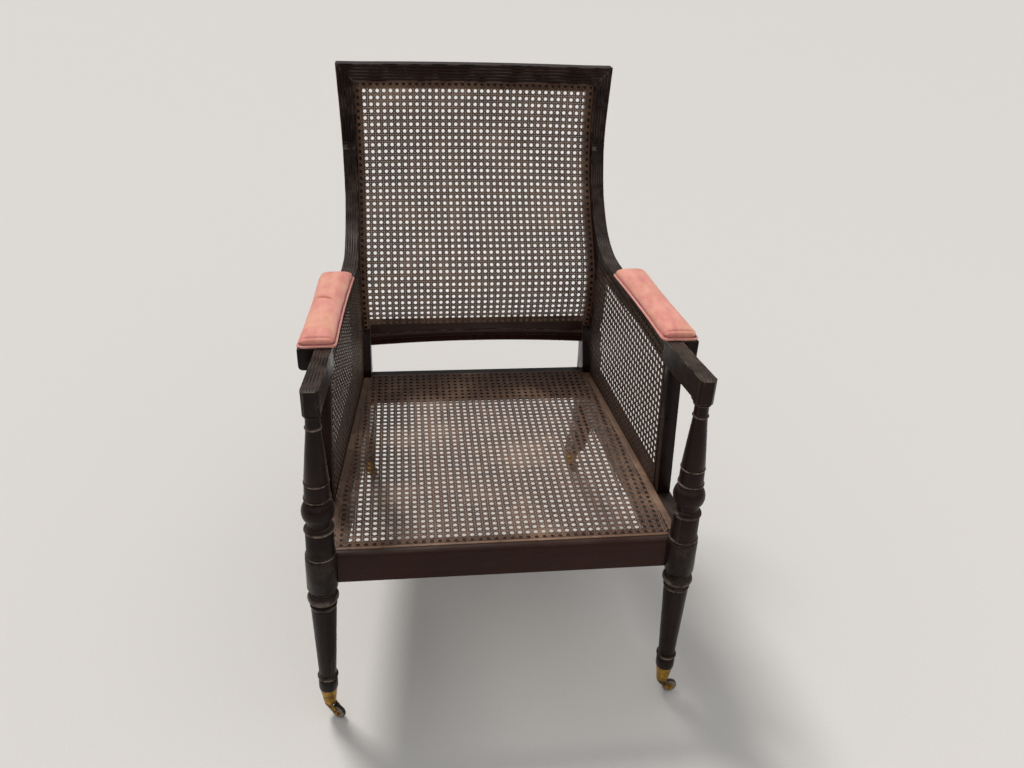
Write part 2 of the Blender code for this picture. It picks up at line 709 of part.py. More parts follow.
def front_leg(side, wood):
    shape = on_leg(side, spun(turned_leg_profile(), LEG_SIDES))
    thing = place(f"front_leg_{side}", shape, wood, 35)
    join(thing, cutter(f"add_neck_{side}", neck_tenon(side, 0)))
    for label, ends in (("front", front_tenon(side)), ("side", side_tenon_front(side))):
        cut(thing, cutter(f"cut_leg_{label}_{side}", grown_box(*ends, FIT)))
    return thing


def leg_scribe(side):
    """The leg's drum with its clearance, which hollows the ends of the rails."""
    level = SEAT_TOP + RAIL_DEPTH
    shape = spun([(DRUM_RADIUS + FIT, level), (DRUM_RADIUS + FIT, SEAT_TOP - 2 * RAIL_DEPTH)], LEG_SIDES)
    return cutter(f"cut_scribe_{side}", on_leg(side, shape))


def front_seat_rail(wood, scribes):
    face = LEG_LINE + FRONT_RAIL_FACE
    back = LEG_LINE + FRONT_RAIL_BACK
    step = LEG_LINE + SIDE_RAIL_FRONT - FIT
    reach = LEG_FOOT_X - DRUM_RADIUS
    half = [(rail_inner(back) - FIT, back), (rail_inner(step) - FIT, step), (reach, step), (reach, face)]
    outline = half + [(-x, y) for x, y in half[::-1]]
    shape = plan_prism("right", outline, SEAT_TOP - RAIL_DEPTH, SEAT_TOP)
    upper = [edge for edge in shape.edges
             if all(abs(v.co.y - face) < FIT and abs(v.co.z - SEAT_TOP) < FIT for v in edge.verts)]
    bmesh.ops.bevel(shape, geom=upper, offset=FRONT_RAIL_ROUND, segments=4, profile=0.5,
                    affect="EDGES", material=-1)
    thing = place("front_seat_rail", shape, wood, 30)
    for side in ("left", "right"):
        cut(thing, scribes[side])
        join(thing, cutter(f"add_front_tenon_{side}", box(*front_tenon(side))))
    return thing


def rear_seat_rail(wood):
    face = LEG_LINE + REAR_RAIL_FACE
    back = LEG_LINE + REAR_RAIL_BACK
    step = LEG_LINE + HOLES_REAR
    half = [(rail_inner(face) - FIT, face), (rail_inner(step) - FIT, step),
            (STILE_IN - FIT, step), (STILE_IN - FIT, back)]
    outline = half + [(-x, y) for x, y in half[::-1]]
    shape = plan_prism("right", outline, SEAT_TOP - RAIL_DEPTH, SEAT_TOP)
    thing = place("rear_seat_rail", shape, wood, 30)
    for side in ("left", "right"):
        join(thing, cutter(f"add_rear_tenon_{side}", box(*rear_tenon(side))))
    return thing


def side_seat_rail(side, wood, scribes):
    rear = stile_face() - FIT
    front = LEG_LINE + SIDE_RAIL_FRONT
    outline = [(rail_inner(rear), rear), (rail_outer(rear), rear),
               (rail_outer(front), front), (rail_inner(front), front)]
    shape = plan_prism(side, outline, SEAT_TOP - RAIL_DEPTH, SEAT_TOP)
    thing = place(f"side_seat_rail_{side}", shape, wood, 30)
    cut(thing, scribes[side])
    join(thing, cutter(f"add_side_front_{side}", box(*side_tenon_front(side))))
    join(thing, cutter(f"add_side_rear_{side}", box(*side_tenon_rear(side))))
    cut(thing, cutter(f"cut_post_foot_{side}", grown_box(*post_tenon(side, "foot"), FIT)))
    return thing


def seat_cane(cane, scribes):
    front = LEG_LINE + HOLES_FRONT - CANE_MARGIN
    step = stile_face() - FIT
    half = [(splayed(HALF_HOLES_REAR + CANE_MARGIN, y), y) for y in (front, step)]
    half += [(STILE_IN - FIT, step), (STILE_IN - FIT, LEG_LINE + HOLES_REAR + CANE_MARGIN)]
    outline = half + [(-x, y) for x, y in half[::-1]]
    shape = plan_prism("right", outline, SEAT_TOP + FIT, SEAT_TOP + FIT + SEAT_CANE)
    thing = place("seat_cane", shape, cane)
    for side in ("left", "right"):
        cut(thing, scribes[side])
    near = LEG_LINE + HOLES_FRONT + HOLE_MARGIN
    far = LEG_LINE + HOLES_REAR - HOLE_MARGIN

    def at(across, along, up):
        y = near + (far - near) * along
        x = (2 * across - 1) * splayed(HALF_HOLES_REAR - HOLE_MARGIN, y)
        return x, y, SEAT_TOP + FIT + SEAT_CANE / 2 + up * (SEAT_CANE / 2 + OVERRUN)
    cut(thing, openings("cut_seat_openings", SEAT_OPENINGS, at))
    return thing


def arm_top_line():
    """The top of the arm from the sweep to the tip, as (y, z) points."""
    rear = LEG_LINE + PAD_REAR
    points = [(rear + SWEEP_REACH * back, ARM_PAD_REAR_TOP + (CANE_TOP - ARM_PAD_REAR_TOP) * rise)
              for back, rise in SWEEP_SHARES]
    points += [(rear, ARM_PAD_REAR_TOP), (LEG_LINE + PAD_FRONT, ARM_PAD_FRONT_TOP),
               (LEG_LINE + ARM_TIP, ARM_TIP_TOP)]
    return [Vector(p) for p in points]


def arm_under(y):
    """Underside of the arm."""
    return height_at(arm_top_line(), y) - ARM_DEPTH


def arm_outline():
    """The arm from the side: its top, its tip, its underside and the end against the stile."""
    top = arm_top_line()
    contact = offset_line(stile_lines()[0], -FIT)
    block = Vector((LEG_LINE - ARM_TIP, ARM_TIP_TOP - ARM_TIP_DEPTH))
    outline = top + [Vector((top[-1].x, block.y)), block, Vector((block.x, arm_under(block.x)))]
    rear = LEG_LINE + PAD_REAR
    for point, drop in list(zip(top, offset_line(top, ARM_DEPTH)))[-2::-1]:
        under = drop if point.x > rear else Vector((point.x, arm_under(point.x)))
        if under.x > depth_at(contact, under.y):
            break
        outline.append(under)
    lowest = outline[-1].y
    outline += [point for point in contact[::-1] if lowest < point.y < top[0].y and point.x < top[0].x]
    return [tuple(point) for point in outline]


def arm(side, wood):
    thing = place(f"arm_{side}", side_prism(side, arm_outline(), arm_inner, arm_outer), wood, 30)
    cut(thing, cutter(f"cut_neck_{side}", neck_tenon(side, FIT)))
    cut(thing, cutter(f"cut_post_head_{side}", grown_box(*post_tenon(side, "head"), FIT)))
    return thing


def pad_edge(y, front, rear):
    share = (y - LEG_LINE - PAD_FRONT) / (PAD_REAR - PAD_FRONT)
    return front + (rear - front) * share


def board_outer(y, z):
    return pad_edge(y, PAD_OUT_FRONT, PAD_OUT_REAR) - PIPING / 2


def arm_board(side, wood):
    """The piece that widens the arm under its pad."""
    front = LEG_LINE + PAD_FRONT
    rear = LEG_LINE + PAD_REAR
    top = arm_top_line()
    levels = [(rear, height_at(top, rear)), (front, height_at(top, front))]
    outline = levels + [(front, levels[1][1] - BOARD_DEPTH), (rear, levels[0][1] - BOARD_DEPTH)]
    shape = side_prism(side, outline, lambda y, z: arm_outer(y, z) + FIT, board_outer)
    low = [edge for edge in shape.edges if all(v.co.z < ARM_PAD_REAR_TOP - BOARD_DEPTH / 2
           and abs(v.co.x) > board_outer(v.co.y, v.co.z) - FIT for v in edge.verts)]
    bmesh.ops.bevel(shape, geom=low, offset=BOARD_EASE, segments=3, profile=0.5,
                    affect="EDGES", material=-1)
    return place(f"arm_board_{side}", shape, wood, 30)


def lean_at(y, z):
    """How far in the post and the side cane lean, which fades to nothing at the stile."""
    up = (z - SEAT_TOP) / (arm_under(LEG_LINE + POST_BACK) - SEAT_TOP)
    along = (LEG_LINE + HOLES_REAR - y) / (HOLES_REAR - POST_BACK)
    return POST_LEAN * up * min(1, max(0, along))


def side_post(side, wood):
    front, back = LEG_LINE + POST_FRONT, LEG_LINE + POST_BACK
    outline = [(front, SEAT_TOP + FIT), (back, SEAT_TOP + FIT),
               (back, arm_under(back) - FIT), (front, arm_under(front) - FIT)]
    shape = side_prism(side, outline, lambda y, z: POST_NEAR - lean_at(y, z),
                       lambda y, z: POST_OUT - lean_at(y, z))
    thing = place(f"side_post_{side}", shape, wood, 30)
    for end in ("foot", "head"):
        join(thing, cutter(f"add_post_{end}_{side}", box(*post_tenon(side, end))))
    return thing


def side_cane(side, cane):
    front = LEG_LINE + POST_BACK + FIT
    arm_line = arm_outline()
    top = len(arm_top_line())
    under = [Vector(p) for p in arm_line[top + 2:]]
    contact = offset_line(stile_lines()[0], -FIT)
    ceiling = [p - Vector((0, 2 * FIT)) for p in under if front < p.x < depth_at(contact, p.y) - FIT / 2]
    first = Vector((front, arm_under(front) - 2 * FIT))
    corner = max(ceiling, key=lambda p: p.x)
    floor = SEAT_TOP + SEAT_CANE / 2
    back = [p for p in contact if floor < p.y < corner.y]
    outline = [(front, floor), tuple(first)] + [tuple(p) for p in ceiling] + [tuple(p) for p in back]
    outline.append((back[-1].x, floor))
    shape = bmesh.new()
    shape.faces.new([shape.verts.new((0, y, z)) for y, z in outline])
    across, up = SIDE_OPENINGS
    edges_y = opening_edges(across, front, LEG_LINE + HOLES_REAR)
    edges_z = opening_edges(up, SEAT_TOP, ARM_PAD_REAR_TOP - ARM_DEPTH)
    for way, edges in ((Vector((0, 1, 0)), edges_y), (Vector((0, 0, 1)), edges_z)):
        for edge in edges:
            bmesh.ops.bisect_plane(shape, geom=shape.verts[:] + shape.edges[:] + shape.faces[:],
                                   dist=FIT / 10, plane_co=way * edge, plane_no=way)
    inside = [face for face in shape.faces if in_opening(face.calc_center_median().y, edges_y)
              and in_opening(face.calc_center_median().z, edges_z)]
    bmesh.ops.delete(shape, geom=inside, context="FACES_ONLY")
    for vert in shape.verts:
        x = splayed(SIDE_CANE_IN, vert.co.y) + SIDE_CANE / 2 - lean_at(vert.co.y, vert.co.z)
        vert.co.x = mirrored(side, x)
    thing = place(f"side_cane_{side}", shape, cane)
    wall = thing.modifiers.new("wall", "SOLIDIFY")
    wall.thickness = SIDE_CANE
    wall.offset = 0
    return thing


def pad_outline(side, inset):
    """The pad's edge in plan: straight ends, drawn in sides and round corners."""
    points = []
    front = LEG_LINE + PAD_FRONT + inset
    rear = LEG_LINE + PAD_REAR - inset
    radius = PAD_CORNER - min(inset, PAD_CORNER / 2)
    steps = 8
    widths = {-1: (PAD_IN_FRONT, PAD_IN_REAR), 1: (PAD_OUT_FRONT, PAD_OUT_REAR)}
    corners = ((-1, rear, 90), (-1, front, 180), (1, front, 270), (1, rear, 0))
    for number, (way, y, start) in enumerate(corners):
        inward = -1 if y == rear else 1
        x = pad_edge(y, *widths[way]) - way * (radius + inset)
        for k in range(4):
            angle = math.radians(start + k * 30)
            points.append((x + radius * math.cos(angle), y + inward * radius + radius * math.sin(angle)))
        if number in (0, 2):
            begin = points[-1][1]
            end = (front + radius) if number == 0 else (rear - radius)
            for k in range(1, steps):
                y_here = begin + (end - begin) * k / steps
                draw = PAD_DRAW * math.sin(math.pi * k / steps)
                points.append((pad_edge(y_here, *widths[way]) - way * (inset + draw), y_here))
    return [(mirrored(side, x), y) for x, y in points]


def arm_pad(side, velvet):
    """A crowned pad on the arm and its board."""
    top = arm_top_line()
    rings = []
    for inset, height in PAD_SHARES:
        outline = pad_outline(side, PIPING * inset)
        rings.append([(x, y, height_at(top, y) + FIT + PIPING * height) for x, y in outline])
    shape = skin(rings)
    bmesh.ops.triangulate(shape, faces=[face for face in shape.faces if len(face.verts) > 4])
    return place(f"arm_pad_{side}", shape, velvet, 50)


def pad_piping(side, velvet):
    """The cord sewn round the foot of the pad."""
    top = arm_top_line()
    middle = [Vector((x, y, height_at(top, y) + FIT + PIPING)) for x, y in pad_outline(side, PIPING)]
    rings = []
    for k, point in enumerate(middle):
        along = middle[(k + 1) % len(middle)] - middle[k - 1]
        up = Vector((0, 0, 1))
        out = along.cross(up).normalized()
        turns = [math.tau * j / PIPING_SIDES for j in range(PIPING_SIDES)]
        rings.append([point + (out * math.cos(turn) + up * math.sin(turn)) * PIPING for turn in turns])
    return place(f"pad_piping_{side}", skin(rings, closed=True), velvet, 60)


def castor_centre(corner):
    """The swivel axis of a castor on the floor."""
    side = corner.split("_")[1]
    if corner.startswith("front"):
        return Vector((mirrored(side, leg_axis(CUP_BOTTOM)), LEG_LINE, 0))
    return Vector((mirrored(side, REAR_FOOT_X), LEG_LINE + REAR_FOOT, 0))


def castor_cup(corner, brass):
    """The brass cup that the leg stands in, round in front and square behind."""
    outer = [(CUP_TOP_RADIUS, CUP_TOP), (CUP_END_RADIUS, CUP_BOTTOM)]
    floor = CUP_BOTTOM + CUP_FLOOR
    inner = [(cup_radius(CUP_TOP) - CUP_WALL, CUP_TOP + OVERRUN), (cup_radius(CUP_TOP) - CUP_WALL, CUP_TOP),
             (cup_radius(floor) - CUP_WALL, floor)]
    square = corner.startswith("rear")
    if square:
        grow = REAR_FOOT_SIZE / 2 / CUP_TOP_RADIUS * math.sqrt(2)
        outer = [(radius * grow, z) for radius, z in outer]
        inner = [(radius * grow, z) for radius, z in inner]
    sides = 4 if square else CASTOR_SIDES
    turn = Matrix.Rotation(math.radians(45 if square else 0), 4, "Z")
    centre = Matrix.Translation(castor_centre(corner))
    thing = place(f"castor_cup_{corner}", spun(outer, sides), brass, 30)
    thing.matrix_world = centre @ turn
    bore = [(PIN_RADIUS + TURN_FIT, floor + OVERRUN), (PIN_RADIUS + TURN_FIT, CUP_BOTTOM - OVERRUN)]
    for label, shape in (("bore", spun(bore, CASTOR_SIDES)), ("hollow", spun(inner, sides))):
        hole = cutter(f"cut_cup_{label}_{corner}", shape)
        hole.matrix_world = centre @ turn
        cut(thing, hole)
    return thing


def castor_axis(corner):
    """An empty on the swivel axis, turned so that its X points at the wheel."""
    empty = bpy.data.objects.new(f"swivel_{corner}", None)
    bpy.context.scene.collection.objects.link(empty)
    turn = Matrix.Rotation(math.radians(CASTOR_TURNS[corner]), 4, "Z")
    empty.matrix_world = Matrix.Translation(castor_centre(corner)) @ turn
    return empty


def hung(thing, parent, matrix=Matrix.Identity(4)):
    thing.parent = parent
    thing.matrix_local = matrix
    return thing


def castor_horn(corner, brass, swivel):
    """The swivelling fork, with its pin riveted over inside the cup."""
    top = CUP_BOTTOM - FIT
    rivet = CUP_BOTTOM + CUP_FLOOR + FIT
    profile = [(RIVET_RADIUS, rivet + RIVET_HEIGHT), (RIVET_RADIUS, rivet), (PIN_RADIUS, rivet),
               (PIN_RADIUS, top), (HORN_RADIUS, top), (HORN_RADIUS, top - HORN_THICK)]
    thing = hung(place(f"castor_horn_{corner}", spun(profile, CASTOR_SIDES), brass, 30), swivel)
    inner = WHEEL_WIDTH / 2 + CHEEK_GAP
    boss = HUB_RADIUS
    base = top - HORN_THICK
    rear = -HORN_RADIUS * CHEEK_SHARE
    outline = [(rear, base + HORN_THICK / 2), (rear, base - CHEEK)]
    for k in range(7):
        angle = math.radians(210 + k * 30)
        outline.append((TRAIL + boss * math.cos(angle), WHEEL_RADIUS + boss * math.sin(angle)))
    outline.append((-rear, base + HORN_THICK / 2))
    for label, way in (("near", -1), ("far", 1)):
        y = (way * inner, way * (inner + CHEEK))
        shape = prism(outline, y, lambda t, k, p: (p[0], t, p[1]))
        cheek = hung(cutter(f"add_cheek_{label}_{corner}", shape), swivel)
        join(thing, cheek)
    reach = inner + CHEEK + OVERRUN
    bore = spun([(AXLE_RADIUS + FIT, reach), (AXLE_RADIUS + FIT, -reach)], TENON_SIDES)
    hole = cutter(f"cut_axle_{corner}", bore)
    hung(hole, swivel, axle_matrix())
    cut(thing, hole)
    return thing


def axle_matrix():
    """The wheel's axle in the swivel's own frame."""
    return Matrix.Translation((TRAIL, 0, WHEEL_RADIUS)) @ Matrix.Rotation(math.radians(90), 4, "X")


def castor_wheel(corner, material, swivel):
    half = WHEEL_WIDTH / 2
    ease = WHEEL_WIDTH / 6
    bore = AXLE_RADIUS + FIT
    shape = bmesh.new()
    profile = [(bore, half), (HUB_RADIUS, half), (HUB_RADIUS + ease, half - ease / 2),
               (WHEEL_RADIUS - ease, half - ease / 2), (WHEEL_RADIUS, half - 1.5 * ease)]
    points = profile + [(radius, -height) for radius, height in profile[::-1]]
    verts = [shape.verts.new((radius, 0, height)) for radius, height in points]
    edges = [shape.edges.new((a, b)) for a, b in zip(verts, verts[1:] + verts[:1])]
    bmesh.ops.spin(shape, geom=verts + edges, cent=(0, 0, 0), axis=(0, 0, 1),
                   angle=math.tau, steps=CASTOR_SIDES + 4, use_merge=True)
    bmesh.ops.remove_doubles(shape, verts=shape.verts, dist=FIT / 10)
    return hung(place(f"castor_wheel_{corner}", shape, material, 35), swivel, axle_matrix())


def castor_axle(corner, brass, swivel):
    reach = WHEEL_WIDTH / 2 + CHEEK_GAP + CHEEK + FIT
    profile = [(AXLE_HEAD, reach + AXLE_HEAD_THICK), (AXLE_HEAD, reach), (AXLE_RADIUS, reach),
               (AXLE_RADIUS, -reach), (AXLE_HEAD, -reach), (AXLE_HEAD, -reach - AXLE_HEAD_THICK)]
    return hung(place(f"castor_axle_{corner}", spun(profile, TENON_SIDES), brass, 30), swivel, axle_matrix())


def build():
    clear_scene()
    finish("guide", (0.5, 0.5, 0.5), 0.5)
    wood = finish("mahogany", (0.030, 0.016, 0.012), 0.42)
    cane = finish("cane", (0.150, 0.100, 0.072), 0.6)
    velvet = finish("velvet", (0.620, 0.230, 0.190), 0.9)
    brass = finish("brass", (0.420, 0.290, 0.080), 0.4, 1.0)
    iron = finish("wheel", (0.200, 0.170, 0.130), 0.55, 0.6)
    sides = ("left", "right")
    scribes = {side: leg_scribe(side) for side in sides}
    top_rail(wood)
    lower_back_rail(wood)
    back_cane(cane)
    front_seat_rail(wood, scribes)
    rear_seat_rail(wood)
    seat_cane(cane, scribes)
    for side in sides:
        stile(side, wood)
        front_leg(side, wood)
        side_seat_rail(side, wood, scribes)
        arm(side, wood)
        arm_board(side, wood)
        side_post(side, wood)
        side_cane(side, cane)
        arm_pad(side, velvet)
        pad_piping(side, velvet)
    for corner in CASTOR_TURNS:
        swivel = castor_axis(corner)
        castor_cup(corner, brass)
        castor_horn(corner, brass, swivel)
        castor_wheel(corner, iron, swivel)
        castor_axle(corner, brass, swivel)
    bpy.context.view_layer.update()


build()
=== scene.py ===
# Cane back armchair: the looks of the part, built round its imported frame
import math
import random

import bmesh
import bpy
from mathutils import Matrix, Vector, noise


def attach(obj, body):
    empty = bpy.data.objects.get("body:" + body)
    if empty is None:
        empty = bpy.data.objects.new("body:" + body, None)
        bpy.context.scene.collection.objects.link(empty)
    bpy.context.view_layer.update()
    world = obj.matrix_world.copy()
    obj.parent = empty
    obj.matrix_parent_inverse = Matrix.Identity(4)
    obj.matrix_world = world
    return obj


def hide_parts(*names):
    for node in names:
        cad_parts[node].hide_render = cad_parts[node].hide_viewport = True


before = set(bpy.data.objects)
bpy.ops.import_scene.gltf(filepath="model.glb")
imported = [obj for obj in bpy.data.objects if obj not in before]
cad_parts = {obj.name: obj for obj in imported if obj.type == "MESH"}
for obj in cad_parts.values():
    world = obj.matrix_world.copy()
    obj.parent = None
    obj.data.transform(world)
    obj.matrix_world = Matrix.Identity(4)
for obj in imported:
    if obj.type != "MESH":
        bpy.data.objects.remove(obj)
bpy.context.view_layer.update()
print("frame loaded")

# Camera, fitted to the rows of cane and the legs
camera = {
    "place": (-0.1426, -1.3838, 1.2591),
    "right": (0.99276, -0.11398, 0.03786),
    "up": (0.02566, 0.50928, 0.86022),
    "back": (-0.11733, -0.85302, 0.50851),
    "lens": 30.42, "sensor": 36, "farthest": 60,
}


def newObject(name, data):
    made = bpy.data.objects.new(name, data)
    bpy.context.scene.collection.objects.link(made)
    return made


def setCamera():
    data = bpy.data.cameras.new("camera")
    data.lens = camera["lens"]
    data.sensor_width = camera["sensor"]
    data.clip_end = camera["farthest"]
    eye = newObject("camera", data)
    turn = Matrix((camera["right"], camera["up"], camera["back"])).transposed().to_4x4()
    eye.matrix_world = Matrix.Translation(camera["place"]) @ turn
    bpy.context.scene.camera = eye


setCamera()
print("camera placed")

# Sizes shared by several pieces, in metres; to the rear they count from the line through the front legs
bothSides = ("left", "right")
legLine = -0.3630
seat = {
    "top": 0.355, "depth": 0.057, "holesFront": 0.020, "holesRear": 0.535, "halfFront": 0.265,
    "halfRear": 0.219, "holeMargin": 0.009, "frontFace": 0.001, "frontBack": 0.031, "frontRound": 0.010,
    "frontEase": 0.002, "intoLeg": 0.004, "sideWidth": 0.050, "sideFront": 0.013, "sideEase": 0.0016,
    "rearFace": 0.526, "rearBack": 0.561, "rearEase": 0.001, "fit": 0.0003, "cane": 0.0018,
}
back = {
    "near": 0.559, "sweep": 0.160, "top": 0.900, "low": 0.4506, "halfHoles": 0.2286, "stileIn": 0.2197,
    "outLow": 0.2585, "outTop": 0.2670, "height": 0.938, "widenFrom": 0.700, "proud": 0.007, "set": 0.021,
    "bandIn": 0.2340, "bow": 0.011, "bowFrom": 0.42, "bowFull": 0.66, "footY": 0.660, "footX": 0.240,
    "footSize": 0.028, "swell": 0.057, "footTop": 0.0683, "cane": 0.0012, "eases": (0.0020, 0.0016),
    # Down the curve of the caned back, as shares of its sweep and its height
    "shares": ((1.000, 1.000), (0.990, 0.820), (0.860, 0.650), (0.590, 0.500),
               (0.250, 0.370), (0.030, 0.260), (0.000, 0.130), (0.105, 0.000)),
    # Down the back leg: how far its front and its rear stand behind the seat, and the height
    "legShares": ((0.53, 1.10, 1.040), (0.26, 1.05, 0.966), (0.05, 1.00, 0.906), (0.00, 0.98, 0.870),
                  (0.00, 0.97, 0.720), (0.06, 1.01, 0.647), (0.25, 1.16, 0.539), (0.57, 1.46, 0.411),
                  (1.02, 1.90, 0.295), (1.52, 2.28, 0.217)),
}
topRail = {"depth": 0.0466, "bandDepth": 0.0325, "reach": 0.275, "steps": 26, "eases": (0.002, 0.003)}
lowRail = {
    "top": 0.4595, "bottom": 0.4140, "face": 0.5645, "back": 0.5985, "step": 0.4415, "arch": 0.0075,
    "bead": 0.0060, "beadHeight": 0.4340, "quirk": 0.001, "faceEase": 0.0015, "ease": 0.002, "steps": 14,
}
reeding = {"count": 5, "groove": 0.0013, "steps": 6, "edge": 0.04, "smooth": 28}


def mirrored(side, x):
    return x if side == "right" else -x


def smoothLine(points, steps):
    # A curve through all the points, with the given number of steps between two
    ends = [points[0]] + list(points) + [points[-1]]
    line = []
    for k in range(1, len(ends) - 2):
        a, b, c, d = (Vector(p) for p in ends[k - 1:k + 3])
        for j in range(steps):
            t = j / steps
            line.append(0.5 * ((2 * b) + (c - a) * t + (2 * a - 5 * b + 4 * c - d) * t ** 2
                               + (3 * b - a - 3 * c + d) * t ** 3))
    line.append(Vector(points[-1]))
    return line


def offsetLine(line, distance):
    # A positive distance moves the line to the rear
    moved = []
    for k, point in enumerate(line):
        run = line[min(k + 1, len(line) - 1)] - line[max(k - 1, 0)]
        run.normalize()
        moved.append(point + Vector((-run.y, run.x)) * distance)
    return moved


def heightAt(line, y):
    # Lines hold depth in x and height in y
    for a, b in zip(line, line[1:]):
        if min(a.x, b.x) <= y <= max(a.x, b.x) and a.x != b.x:
            return a.y + (b.y - a.y) * (y - a.x) / (b.x - a.x)
    return line[0].y if abs(line[0].x - y) < abs(line[-1].x - y) else line[-1].y


def depthAt(line, z):
    for a, b in zip(line, line[1:]):
        if b.y <= z:
            break
    return a.x + (b.x - a.x) * (a.y - z) / (a.y - b.y)


def backLine():
    near, rise = legLine + back["near"], back["top"] - back["low"]
    return smoothLine([(near + back["sweep"] * depth, back["low"] + rise * height)
                       for depth, height in back["shares"]], 3)


def extendedBackLine():
    line = backLine()
    run = line[0] - line[1]
    return [line[0] + run * ((back["height"] - line[0].y) / run.y)] + line


def bowAt(x):
    return 1 - min(1.0, abs(x) / back["stileIn"]) ** 2


def splayed(halfAtRear, y):
    slope = (seat["halfFront"] - seat["halfRear"]) / (seat["holesRear"] - seat["holesFront"])
    return halfAtRear + slope * (legLine + seat["holesRear"] - y)


# Shaping with bmesh operators
merging = 0.00001  # points closer than this become one


def allOf(shape):
    return shape.verts[:] + shape.edges[:] + shape.faces[:]


def rimOf(shape):
    return [edge for edge in shape.edges if edge.is_boundary]


def kindOf(kind, made):
    return [item for item in made["geom"] if isinstance(item, kind)]


def faceOut(shape):
    bmesh.ops.recalc_face_normals(shape, faces=shape.faces)
    return shape


def drawOut(shape, rings):
    # The first ring becomes a face, which is extruded from ring to ring
    face = shape.faces.new([shape.verts.new(point) for point in rings[0]])
    for number, ring in enumerate(rings[1:]):
        last = face
        face = kindOf(bmesh.types.BMFace, bmesh.ops.extrude_face_region(shape, geom=[last]))[0]
        for vert, point in zip(face.verts, ring):
            vert.co = point
        if number:
            bmesh.ops.delete(shape, geom=[last], context="FACES_ONLY")


def sweep(rings):
    shape = bmesh.new()
    drawOut(shape, rings)
    bmesh.ops.remove_doubles(shape, verts=shape.verts, dist=merging)
    return faceOut(shape)


def easedCorners(outline, eases, steps=3):
    # Rounds each corner that has an ease
    ring = []
    for k, (point, ease) in enumerate(zip(outline, eases)):
        if not ease:
            ring.append(point)
            continue
        a = point + (outline[k - 1] - point).normalized() * ease
        b = point + (outline[(k + 1) % len(outline)] - point).normalized() * ease
        for j in range(steps + 1):
            t = j / steps
            ring.append((1 - t) ** 2 * a + 2 * t * (1 - t) * point + t * t * b)
    return ring


def reeds(a, b, inward):
    # Half round reeds from a to b, with grooves cut along the inward vector
    count, steps = reeding["count"], reeding["steps"]
    start, end = a.lerp(b, reeding["edge"]), a.lerp(b, 1 - reeding["edge"])
    line = [a]
    for k in range(count * steps + 1):
        place = (k % steps) / steps
        drop = 1 - math.sqrt(max(0, 1 - (2 * place - 1) ** 2))
        line.append(start.lerp(end, k / (count * steps)) + inward * drop)
    return line + [b]


def block(low, high):
    shape = bmesh.new()
    bmesh.ops.create_cube(shape, size=1.0)
    for vert in shape.verts:
        for axis in range(3):
            vert.co[axis] = high[axis] if vert.co[axis] > 0 else low[axis]
    return shape


def soften(shape, width, segments=2, angle=35):
    edges = [edge for edge in shape.edges if edge.calc_face_angle(0) > math.radians(angle)]
    bmesh.ops.bevel(shape, geom=edges, offset=width, segments=segments, profile=0.5,
                    affect="EDGES", material=-1, clamp_overlap=True)
    return shape


def turned(profile, sides, closed=False):
    # Radius and height of each point, spun round Z; an open profile is closed on the axis
    shape = bmesh.new()
    points = list(profile)
    if not closed:
        points = [(0, points[0][1])] + points + [(0, points[-1][1])]
    verts = [shape.verts.new((radius, 0, height)) for radius, height in points]
    pairs = list(zip(verts, verts[1:])) + ([(verts[-1], verts[0])] if closed else [])
    edges = [shape.edges.new(pair) for pair in pairs]
    bmesh.ops.spin(shape, geom=verts + edges, cent=(0, 0, 0), axis=(0, 0, 1), angle=math.tau, steps=sides,
                   use_merge=True)
    bmesh.ops.remove_doubles(shape, verts=shape.verts, dist=merging * 2)
    return faceOut(shape)


def cutAway(shape, point, normal):
    # Removes what lies on the normal's side of a plane and closes the cut
    bmesh.ops.bisect_plane(shape, geom=allOf(shape), dist=merging, plane_co=point, plane_no=normal,
                           clear_outer=True)
    bmesh.ops.holes_fill(shape, edges=rimOf(shape), sides=0)


def meshOf(name, shape):
    mesh = bpy.data.meshes.new(name)
    shape.to_mesh(mesh)
    shape.free()
    return mesh


def addPiece(name, shape, look, body="frame", stands=(), smooth=35):
    mesh = meshOf(name, shape)
    mesh.shade_smooth()
    mesh.set_sharp_from_angle(angle=math.radians(smooth))
    mesh.materials.append(look)
    piece = newObject(name, mesh)
    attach(piece, body)
    if stands:
        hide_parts(*stands)
    return piece


# Shader nodes
def addNode(tree, kind, inputs=None, **settings):
    node = tree.nodes.new(kind)
    for key, value in settings.items():
        setattr(node, key, value)
    for key, value in (inputs or {}).items():
        if isinstance(value, bpy.types.NodeSocket):
            tree.links.new(value, node.inputs[key])
        else:
            node.inputs[key].default_value = value
    return node


def newGroup(name, inputs, outputs):
    tree = bpy.data.node_groups.new(name, "ShaderNodeTree")
    for label, kind, value in inputs:
        made = tree.interface.new_socket(label, in_out="INPUT", socket_type=kind)
        if value is not None:
            made.default_value = value
    for label, kind in outputs:
        tree.interface.new_socket(label, in_out="OUTPUT", socket_type=kind)
    return tree, tree.nodes.new("NodeGroupInput").outputs, tree.nodes.new("NodeGroupOutput").inputs


def noiseOf(tree, vector, scale, detail=3.0, rough=0.55):
    inputs = {"Vector": vector, "Scale": scale, "Detail": detail, "Roughness": rough}
    return addNode(tree, "ShaderNodeTexNoise", inputs).outputs["Fac"]


def ramp(tree, value, low, high, start=0.0, end=1.0):
    # From start, where the value is low, to end, where it is high
    inputs = {"Value": value, "From Min": low, "From Max": high, "To Min": start, "To Max": end}
    return addNode(tree, "ShaderNodeMapRange", inputs, interpolation_type="SMOOTHSTEP").outputs["Result"]


def calc(tree, operation, a, b, clamp=True):
    return addNode(tree, "ShaderNodeMath", {0: a, 1: b}, operation=operation, use_clamp=clamp).outputs[0]


